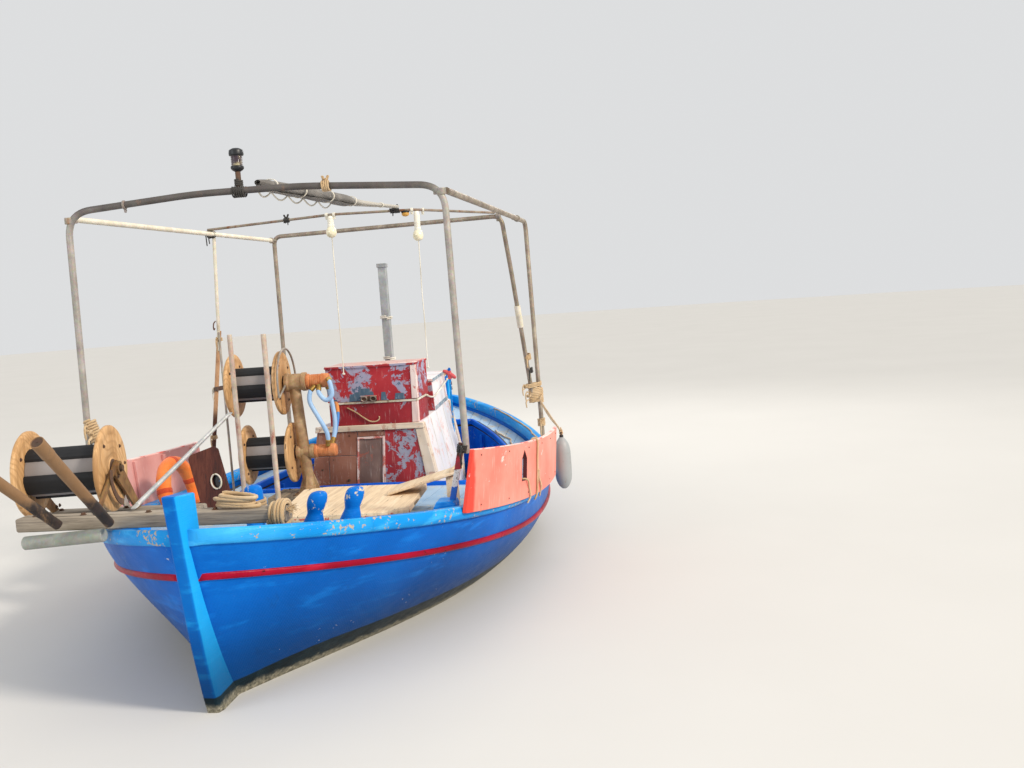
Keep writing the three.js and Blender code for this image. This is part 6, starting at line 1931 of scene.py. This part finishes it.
def buildBoards():
    for name in ("port", "stbd"):
        side, fore, aft = boards[name]
        makePiece(f"Board_{name}", [slottedBoard(side, fore, aft, *boards[name + "Slot"])],
                  portBoardPaint if side > 0 else boardPaint, replaced=[f"board_{name}"],
                  bevel=0.003, sharp=30)
        place = lambda x, share, out: boardPlace(side, x, share, out)
        battens = []
        for x in np.linspace(aft + 0.12, fore - 0.12, 5 if side > 0 else 4):
            corners = oblong(x - 0.022, x + 0.022, 0.03, 0.95)
            battens.append(boardOn(place, corners, -0.0003, 5, 0.0006, int(x * 50), low=-0.02))
        makePiece(f"BoardBattens_{name}", battens, boardEdge if side > 0 else boardPaint, bevel=0.003)
        thick = boards["thickness"]
        end = fore - 0.004 - (boards["rake"] if side > 0 else 0)
        corners = oblong(aft + 0.004, end, 0.985, 1.004)
        rim = boardOn(place, corners, thick + 0.0001, 60, 0.0004, 5, low=-0.001)
        makePiece(f"BoardRim_{name}", [rim], rimPaint, bevel=0.002)
        # A dark lining round the slot, painted shade in the slot's opening: four rings, an outer edge and a smaller
        # one on each face
        middle, half, foot, shoulder, tip = boards[name + "Slot"]
        edge = bentPath([(middle - half, foot, 0), (middle + half, foot, 0), (middle + half, shoulder, 0),
                         (middle, tip, 0), (middle - half, shoulder, 0), (middle - half, foot, 0)], 0.0005,
                        0.01)[:-1, :2]
        inset = edge + (np.array((middle, (foot + shoulder) / 2)) - edge) * 0.05
        rings = [place(ring[:, 0], ring[:, 1], out) for ring, out in
                 ((edge, thick + 0.0006), (inset, thick + 0.0006), (inset, -0.0006), (edge, -0.0006))]
        makePiece(f"SlotShadeLining_{name}", [hoopShape(np.stack(rings))], slotShadePaint, sharp=30)
        bolts = []
        for x in np.linspace(aft + 0.1, fore - 0.1, 6):
            for share in (0.1, 0.9):
                y = halfAt(x) + boards["railOut"] + boards["lean"] * share + thick - 0.0004
                z = sheerHeight(x) + boards["height"] * share
                bolts += boltShapes((x, side * y, z), (0, side, 0), 0.0035)
        makePiece(f"BoardScrews_{name}", bolts, rustySteel)


bitts = {
    "foreBitt": (2.052, 0.03, 0.56), "turnsZ": 0.805, "ropeRadius": 0.0082,
    # the rail bitts lean this much sideways for each metre up, towards port, about a place a little way up
    "fore": (2.3, 0.41, 0.642), "aft": (2.15, 0.543, 0.628), "lean": 0.26, "pivot": 0.11,
}


def buildBitts():
    x, y, _ = bitts["foreBitt"]
    post = capped([[0.046, 0], [0.046, 0.306], [0.04, 0.33], [0.022, 0.34]], 0.008)
    makePiece("ForeBitt", [turnedShape(post, bitts["foreBitt"], (0, 0, 1), 44)], bittPaint,
              replaced=["fore_bitt"])
    turns = [ropeShape(windingPath((x, y, bitts["turnsZ"]), (0, 0, 1), (1, 0, 0), 0.0535, 0.0535, 4, 0.0155, 0.4),
                       bitts["ropeRadius"], 12)]
    tail = smoothThrough([(2.052, 0.084, 0.775), (2.09, 0.12, 0.715), (2.15, 0.17, 0.69), (2.2, 0.25, 0.688),
                          (2.185, 0.32, 0.686)], 60)
    turns.append(ropeShape(tail, bitts["ropeRadius"], 12))
    makePiece("BittTurns", turns, beigeRope)
    knob = smoothThrough([(0.06, 0, 0.0), (0.06, 0, 0.045), (0.055, 0, 0.09), (0.045, 0, 0.13), (0.036, 0, 0.16),
                          (0.04, 0, 0.182), (0.045, 0, 0.204), (0.045, 0, 0.23), (0.039, 0, 0.249),
                          (0.025, 0, 0.259), (0.0, 0, 0.262)], 44)[:, [0, 2]]
    profile = np.concatenate([[[0, 0]], knob])
    lean = bitts["lean"]
    for name in ("fore", "aft"):
        place = bitts[name]
        back = -lean * (place[2] + bitts["pivot"])
        leaning = Matrix(((1, 0, 0, 0), (0, 1, lean, back), (0, 0, 1, 0), (0, 0, 0, 1)))
        makePiece(f"RailBitt_{name}", [moved(turnedShape(profile, place, (0, 0, 1), 44), leaning)], bittPaint,
                  replaced=[f"rail_bitt_{name}"])


netPoles = {"stbd": (0.9, -0.512), "port": (1.25, -0.16), "top": 1.615, "radius": 0.015}


def buildNetPoles():
    for name in ("stbd", "port"):
        x, y = netPoles[name]
        low = deckHeight(x, y) + deckSkin
        shapes = [rodShape((x, y, low), (x, y, netPoles["top"]), netPoles["radius"], 28)]
        collar = capped([[0.034, 0], [0.034, 0.006], [0.02, 0.01], [0.019, 0.04]], 0.002)
        shapes.append(turnedShape(collar, (x, y, low - 0.0005), (0, 0, 1), 28))
        makePiece(f"NetPole_{name}", shapes, polePaint, replaced=[f"net_pole_{name}"])


# The hatch board's outline and top, the height of its painted edge, and the leaf's foot and slope
hatch = {
    "outline": [(0.74, -0.19), (1.37, -0.11), (1.5, -0.01), (1.48, 0.51), (1.34, 0.63), (0.7, 0.59), (0.68, -0.05)],
    "top": 0.6113, "edgeZ": 0.584, "leafFoot": (0.935, 0.43), "leafLift": 0.0105, "leafSlope": 0.26,
}


def buildHatch():
    dressNode("hatch_board", hatchWood, 0.005, 3)
    outline = np.array(hatch["outline"])
    middle = outline.mean(0)
    # A loose leaf leans from the hatch's port side up to a bearer, with a batten across its high end
    slope, low = hatch["leafSlope"], (*hatch["leafFoot"], hatch["top"] + hatch["leafLift"])
    rise = lambda y: low[2] + slope * (y - low[1])
    deckZ, bearerTop = deckHeight(0.93, 0.8) + deckSkin, rise(0.78) - 0.01
    leaf = [timberShape(low, (0.925, 0.85, rise(0.85)), 0.235, 0.018, (1, 0, 0), 0.004, 0.0008, 6),
            timberShape((0.815, 0.826, rise(0.83) + 0.0172), (1.035, 0.826, rise(0.83) + 0.0172), 0.034, 0.016,
                        (0, 1, slope), 0.004, 0.0008, 7),
            timberShape((0.84, 0.8, (deckZ + bearerTop) / 2), (1.02, 0.8, (deckZ + bearerTop) / 2), 0.04,
                        bearerTop - deckZ, (0, 1, 0), 0.004, 0.0008, 8)]
    makePiece("HatchLeaf", leaf, hatchWood)
    edge = outline + 0.0015 * unit(outline - middle)
    path = bentPath(np.concatenate([edge[:5], np.full((5, 1), hatch["edgeZ"])], -1), 0.02, 0.02)
    makePiece("HatchEdge", [sweptShape(path, roundedRectangle(0.024, 0.004, 0.0015), (0, 0, 1))], edgePaint)


fender = {"place": (-0.125, 1.372, 0.372), "ribs": (0.1, 0.178, 0.256), "eyeZ": 0.383, "ropeRadius": 0.0055}


def buildFender():
    place = fender["place"]
    skin = smoothThrough([(0.0, 0, 0.0), (0.018, 0, 0.004), (0.04, 0, 0.03), (0.054, 0, 0.07), (0.0575, 0, 0.12),
                          (0.0575, 0, 0.23), (0.055, 0, 0.275), (0.045, 0, 0.315), (0.03, 0, 0.34),
                          (0.02, 0, 0.352), (0.015, 0, 0.36), (0.0, 0, 0.361)], 60)[:, [0, 2]]
    shapes = [turnedShape(skin, place, (0, 0, 1), 48)]
    for z in fender["ribs"]:
        ring = np.array([[0, -0.003], [0.057, -0.003], [0.0583, 0], [0.057, 0.003], [0, 0.003]])
        shapes.append(turnedShape(ring + [0, z], place, (0, 0, 1), 48))
    makePiece("FenderSkin", shapes, fenderSkin, replaced=["fender"], sharp=50)
    x, y, z = place
    eye = capped([[0.014, 0.352], [0.0145, 0.372], [0.01, 0.378]], 0.003)
    a = np.linspace(0, 2 * np.pi, 41)[:-1]
    shackle = np.stack([x + 0.015 * np.cos(a), y + 0 * a, z + fender["eyeZ"] + 0.015 * np.sin(a)], -1)
    makePiece("FenderEye", [turnedShape(eye, place, (0, 0, 1), 28)], blackShell)
    makePiece("FenderShackle", [sweptShape(shackle, circle(0.0038, 12), (0, 1, 0), closed=True)], rustySteel)
    top = z + 0.396
    line = smoothThrough([(x - 0.004, y, top - 0.004), (-0.24, 1.34, 0.79), (-0.52, 1.272, 0.806),
                          (-0.86, 1.19, 0.846), (-1.1, 1.136, 0.888), (-1.25, 1.14, 0.915)], 120)
    second = line + np.array((0, 0.009, 0.006)) * np.sin(np.linspace(0, np.pi, 120))[:, None]
    rope = [ropeShape(path, fender["ropeRadius"], 10) for path in (line, second)]
    rope += lashingShapes((x, y, top - 0.006), (1, 0, 0.2), (0, 0, 1), 0.01, 0.01, 3, 0.0045, 4)
    makePiece("FenderRope", rope, beigeRope)


lifebuoy = {"place": (0.76, -1.0, 0.64), "arm": 0.185, "tube": 0.0475, "lean": 0.04, "bands": (0.2, 0.5, 0.8)}


def buildLifebuoy():
    x, y, z = lifebuoy["place"]
    arm, tube, lean = lifebuoy["arm"], lifebuoy["tube"], lifebuoy["lean"]
    a = np.radians(np.linspace(-10, 190, 60))
    bow = np.stack([x + arm * np.cos(a), y - lean * np.sin(a), z + arm * np.sin(a)], -1)
    route = np.concatenate([[(x + 0.15, y + 0.015, z - 0.12)], bow, [(x - 0.15, y + 0.015, z - 0.12)]])
    route = evenly(smoothThrough(np.concatenate([route[:-1:4], route[-1:]]), 90), 90)
    s = np.linspace(0, 1, 90)
    cap = np.sqrt(np.clip(1 - (1 - np.clip(np.minimum(s, 1 - s) / 0.045, 0, 1))**2, 0.02, 1))
    swell = (1 - 0.012 * (1 + np.cos(2 * np.pi * s * 9))) * cap
    section = circle(tube, 28) * np.array([1.0, 0.86])
    shapes = [sweptShape(route, section[None] * swell[:, None, None], (0, 1, 0.1))]
    piece = makePiece("LifebuoyFoam", shapes, buoyCloth, replaced=["lifebuoy"], sharp=60, levels=1)
    bands = []
    for share in lifebuoy["bands"]:
        k = int(share * 89)
        tangent = unit(route[k + 1] - route[k - 1])
        bands.append(sweptShape(windingPath(route[k], tangent, (0, 1, 0.1), tube * 0.995, tube * 0.86, 1.0, 0.0,
                                            0.0, 40)[:-1], roundedRectangle(0.03, 0.003, 0.001), tangent,
                                closed=True))
    makePiece("LifebuoyBands", bands, bandCloth)


# A worn brown panel leaning inside the starboard board, with an oval hole ringed in pale metal
panel = {
    "low": (0.905, -0.672, 0.512), "high": (0.815, -0.798, 0.925), "thickness": 0.018,
    "holeMiddle": (0.04, 0.2), "hole": (0.03, 0.042), "half": (0.105, 0.205), "middle": 0.21,
}


def buildPanel():
    low, high = np.array(panel["low"]), np.array(panel["high"])
    up = unit(high - low)
    across = np.array((0.1, 1.0, 0.0))
    across = unit(across - np.sum(across * up) * up)
    out = np.cross(across, up)
    angle = 2 * np.pi * np.arange(48) / 48
    (holeX, holeZ), (halfX, halfZ) = panel["holeMiddle"], panel["half"]

    # An oval round the hole's middle, wider than the hole by a margin
    def oval(margin):
        wide, tall = (size + margin for size in panel["hole"])
        return np.stack([holeX + wide * np.cos(angle), holeZ + tall * np.sin(angle)], -1)

    reach = np.minimum(halfX / np.maximum(np.abs(np.cos(angle)), 1e-6),
                       halfZ / np.maximum(np.abs(np.sin(angle)), 1e-6))
    rim = np.stack([reach * np.cos(angle), panel["middle"] + reach * np.sin(angle)], -1)
    ring = lambda flat, push: low + flat[:, :1] * across + flat[:, 1:] * up + push * out
    thick = panel["thickness"]
    grid = np.stack([ring(oval(0.0), 0.0), ring(rim, 0.0), ring(rim, thick), ring(oval(0.0), thick)])
    makePiece("BrownPanel", [hoopShape(grid)], brownWood, bevel=0.002, sharp=30)
    path = ring(oval(0.004), thick + 0.0025)
    makePiece("PanelRing", [sweptShape(path, circle(0.0052, 12), tuple(across), closed=True)], creamPipe)
    # A black disc just behind the hole, painted shade seen through it
    plate = ring(oval(0.006), -0.003)
    rows = np.stack([plate, plate.mean(0) + 0.02 * (plate - plate.mean(0))])
    makePiece("PanelHoleShade", [slabShape(rows, rows + 0.0025 * out)], blackShell)


# A slim post with a winged head, standing by the after end of the casing
knobPost = {"foot": (-1.56, 0.335, 0.452), "neckZ": 1.062, "stemRadius": 0.0085}


def buildKnobPost():
    x, y, low = knobPost["foot"]
    stem = rodShape((x, y, low), (x, y, knobPost["neckZ"]), knobPost["stemRadius"], 18)
    makePiece("KnobStem", [stem], railPaint)
    wing = smoothThrough([(x, y - 0.055, 1.128), (x, y - 0.03, 1.118), (x, y, 1.1), (x, y + 0.024, 1.082),
                          (x, y + 0.052, 1.06)], 30)
    s = np.linspace(-1, 1, 30)
    shapes = [sweptShape(wing, taperedCircle(0.018 * np.sqrt(np.clip(1 - 0.85 * s**4, 0.02, 1)), 18), (1, 0, 0)),
              rodShape((x, y, 1.055), (x, y, 1.125), 0.016, 18)]
    makePiece("KnobWing", shapes, redPaint)
    tip = rounded([[0, 0], [0.011, 0], [0.013, 0.012], [0.008, 0.026], [0, 0.028]], 0.003)
    makePiece("KnobTip", [turnedShape(tip, (x, y, 1.1245), (0, 0, 1), 20)], bittPaint)


# Beige ropes made fast along the port quarter, each end hitched to the rail or a post
def buildQuarterRopes():
    shapes = []
    x = np.linspace(-0.72, -2.45, 90)
    side = halfAt(x) - 0.03 + 0.006 * ripple(5 * x, 3)
    lift = sheerHeight(x) + hull["railHalf"] + 0.0075 + 0.0015 * ripple(9 * x, 8)
    shapes.append(ropeShape(np.stack([x, side, lift], -1), 0.0065, 11))
    x = np.linspace(-1.28, -2.05, 60)
    inner = np.stack([x, halfAt(x) - 0.2 + 0.02 * ripple(4 * x, 6), deckHeight(x, halfAt(x) - 0.2) + 0.0145], -1)
    shapes.append(ropeShape(inner, 0.0065, 11))
    shapes += lashingShapes((-1.262, 1.118, 0.69), (0.05, 0, 1), (1, 0, 0), 0.0265, 0.0265, 5, 0.0065, 21)
    x0, face = 0.83, boards["thickness"]

    # Each place by x, the share of the board's height and how far it stands out
    def addRope(places, count, radius):
        route = [np.ravel(boardPlace(1, *place)) for place in places]
        shapes.append(ropeShape(smoothThrough(route, count), radius, 11))

    addRope([(x0 + 0.01, 0.3, -0.03), (x0, 0.7, -0.012), (x0, 0.97, -0.009), (x0 - 0.002, 1.032, 0.01),
             (x0 - 0.004, 0.98, face + 0.0085), (x0 - 0.01, 0.7, face + 0.008), (x0 - 0.016, 0.35, face + 0.0078),
             (x0 - 0.01, 0.02, face + 0.008), (x0 - 0.004, -0.1, 0.016)], 90, 0.0068)
    addRope([(x0 - 0.014, 0.45, face + 0.0175), (x0 - 0.05, 0.3, face + 0.0085), (x0 - 0.11, 0.12, face + 0.008),
             (x0 - 0.135, -0.09, 0.016)], 60, 0.0062)
    addRope([(1.04, 0.36, face - 0.03), (1.03, 0.34, face + 0.009), (0.99, 0.2, face + 0.008),
             (0.965, 0.02, face + 0.008), (0.975, -0.1, 0.016)], 60, 0.0058)
    makePiece("QuarterRopes", shapes, beigeRope)
    x = np.linspace(-0.155, -2.3, 100)
    strip = np.stack([x, halfAt(x) - 0.262, deckHeight(x, halfAt(x) - 0.262) + 0.0335], -1)
    makePiece("CoamingStrip", [sweptShape(strip, roundedRectangle(0.012, 0.006, 0.0025), (0, 1, 0))], blackShell)


portBoardPaint = flaked("BoardPort", "#ea7868 #f08e7e #f5a294 #f3c9bf #f7ddd6 #a86a58 #d9a08e",
                        amount=(0.635, 0.7), grain=(3, 1, 0.35), stain=0.08, foreRed=(1.645, "#e0402f"))
rimPaint = flaked("BoardRim", "#f8b4ac #fbd0c8 #fdeae4 #ee6a60 #f4857a #b06a5c #d9a08e", amount=(0.55, 0.66),
                  seed=5.5, stain=0.08)
edgePaint = flaked("HatchRed", "#a8483c #bf5c4c #c97a66 #d9c3a4 #c9b08e #8a7458 #a89274", amount=(0.45, 0.56),
                   seed=2.5)
polePaint = metal("PoleSteel", "#ac9a88 #c8b6a4 #e0d4c6", 0.6, 0.4, 0.3, "#8a5a4a #b87c6c")
# Dark red-brown for the slot's lining, painted shade where the slot looks into the boat
slotShadePaint = moulded("SlotPaintedShade", "#4a161a", "#5e2022", 0.8)
bandCloth = woven("BuoyBand", "#d9480f #b93a0a #ea6a34", 600, 0.75, 0.1)
buildBoards()
buildBitts()
buildNetPoles()
buildHatch()
buildFender()
buildLifebuoy()
buildPanel()
buildKnobPost()
buildQuarterRopes()
print("sides built")


steering = {"pinX": -2.905, "pinZ": -0.545, "rake": 0.16893, "half": 0.0175, "tillerZ": 0.992}


def hingeX(z):
    return steering["pinX"] - (z - steering["pinZ"]) * steering["rake"]


def buildRudder():
    outline = [(0.02, -0.52), (0.02, 1.015), (-0.075, 1.015), (-0.075, 0.56), (-0.11, 0.2), (-0.22, -0.06),
               (-0.27, -0.3), (-0.24, -0.52)]
    corners = np.array([(hingeX(z) + out, 0, z) for out, z in outline])
    soft = bentPath(np.concatenate([corners, corners[:1]]), 0.06, 0.03)[:-1]
    flat = soft[:, [0, 2]]
    blade = plateShape(flat, (0, 0, 0), (1, 0, 0), (0, 0, 1), -steering["half"], steering["half"])
    makePiece("RudderBlade", [blade], stemPaint, body="rudder", replaced=["rudder"], bevel=0.006,
              segments=3)
    z = steering["tillerZ"]
    path = bentPath([(hingeX(z) - 0.03, 0, z), (-2.9, 0, z), (-2.33, 0, 0.9)], 0.15, 0.02)
    s = np.linspace(0, 1, len(path))
    radii = 0.0198 - 0.004 * np.clip((s - 0.75) * 4, 0, 1) + 0.0035 * np.exp(-((s - 0.98) / 0.02)**2)
    makePiece("Tiller", [sweptShape(path, taperedCircle(radii, 24), (0, 1, 0))], tillerWood,
              body="rudder")
    straps, rings = [], []
    for z in (-0.36, 0.05, 0.46, 0.82):
        x = hingeX(z)
        for side in (1, -1):
            straps.append(plateShape(roundedRectangle(0.105, 0.036, 0.005),
                                     (x - 0.03, side * (steering["half"] + 0.0025), z), (1, 0, 0), (0, 0, 1),
                                     -0.002, 0.002))
            for dx in (-0.062, -0.03):
                straps += boltShapes((x + dx, side * (steering["half"] + 0.0043), z), (0, side, 0), 0.0055)
    makePiece("RudderStraps", straps, rustySteel, body="rudder", bevel=0.001)
    for z in (-0.3, 0.11, 0.52, 0.88):
        x = hingeX(z) + 0.052
        for side in (1, -1):
            rings.append(plateShape(roundedRectangle(0.07, 0.034, 0.005), (x + 0.018, side * 0.0425, z),
                                    (1, 0, 0), (0, 0, 1), -0.0022, 0.0022))
            rings += boltShapes((x + 0.024, side * 0.0445, z), (0, side, 0), 0.0055)
    makePiece("Gudgeons", rings, rustySteel, bevel=0.001)


def buildPropeller():
    dressNode("propeller", brass, 0.002)
    x, z = -2.655, -0.3
    nut = rounded([[0, -0.062], [0.012, -0.06], [0.016, -0.05], [0.017, -0.04], [0, -0.04]], 0.002)
    makePiece("PropellerNut", [turnedShape(nut, (x, 0, z), (1, 0, 0), 6)], brass,
              body="propeller", bevel=0.0015)


tillerWood = wooden("TillerWood", "#7d6242 #a38660 #c2a880", "X", roughness=0.6)
buildRudder()
buildPropeller()
print("stern built")
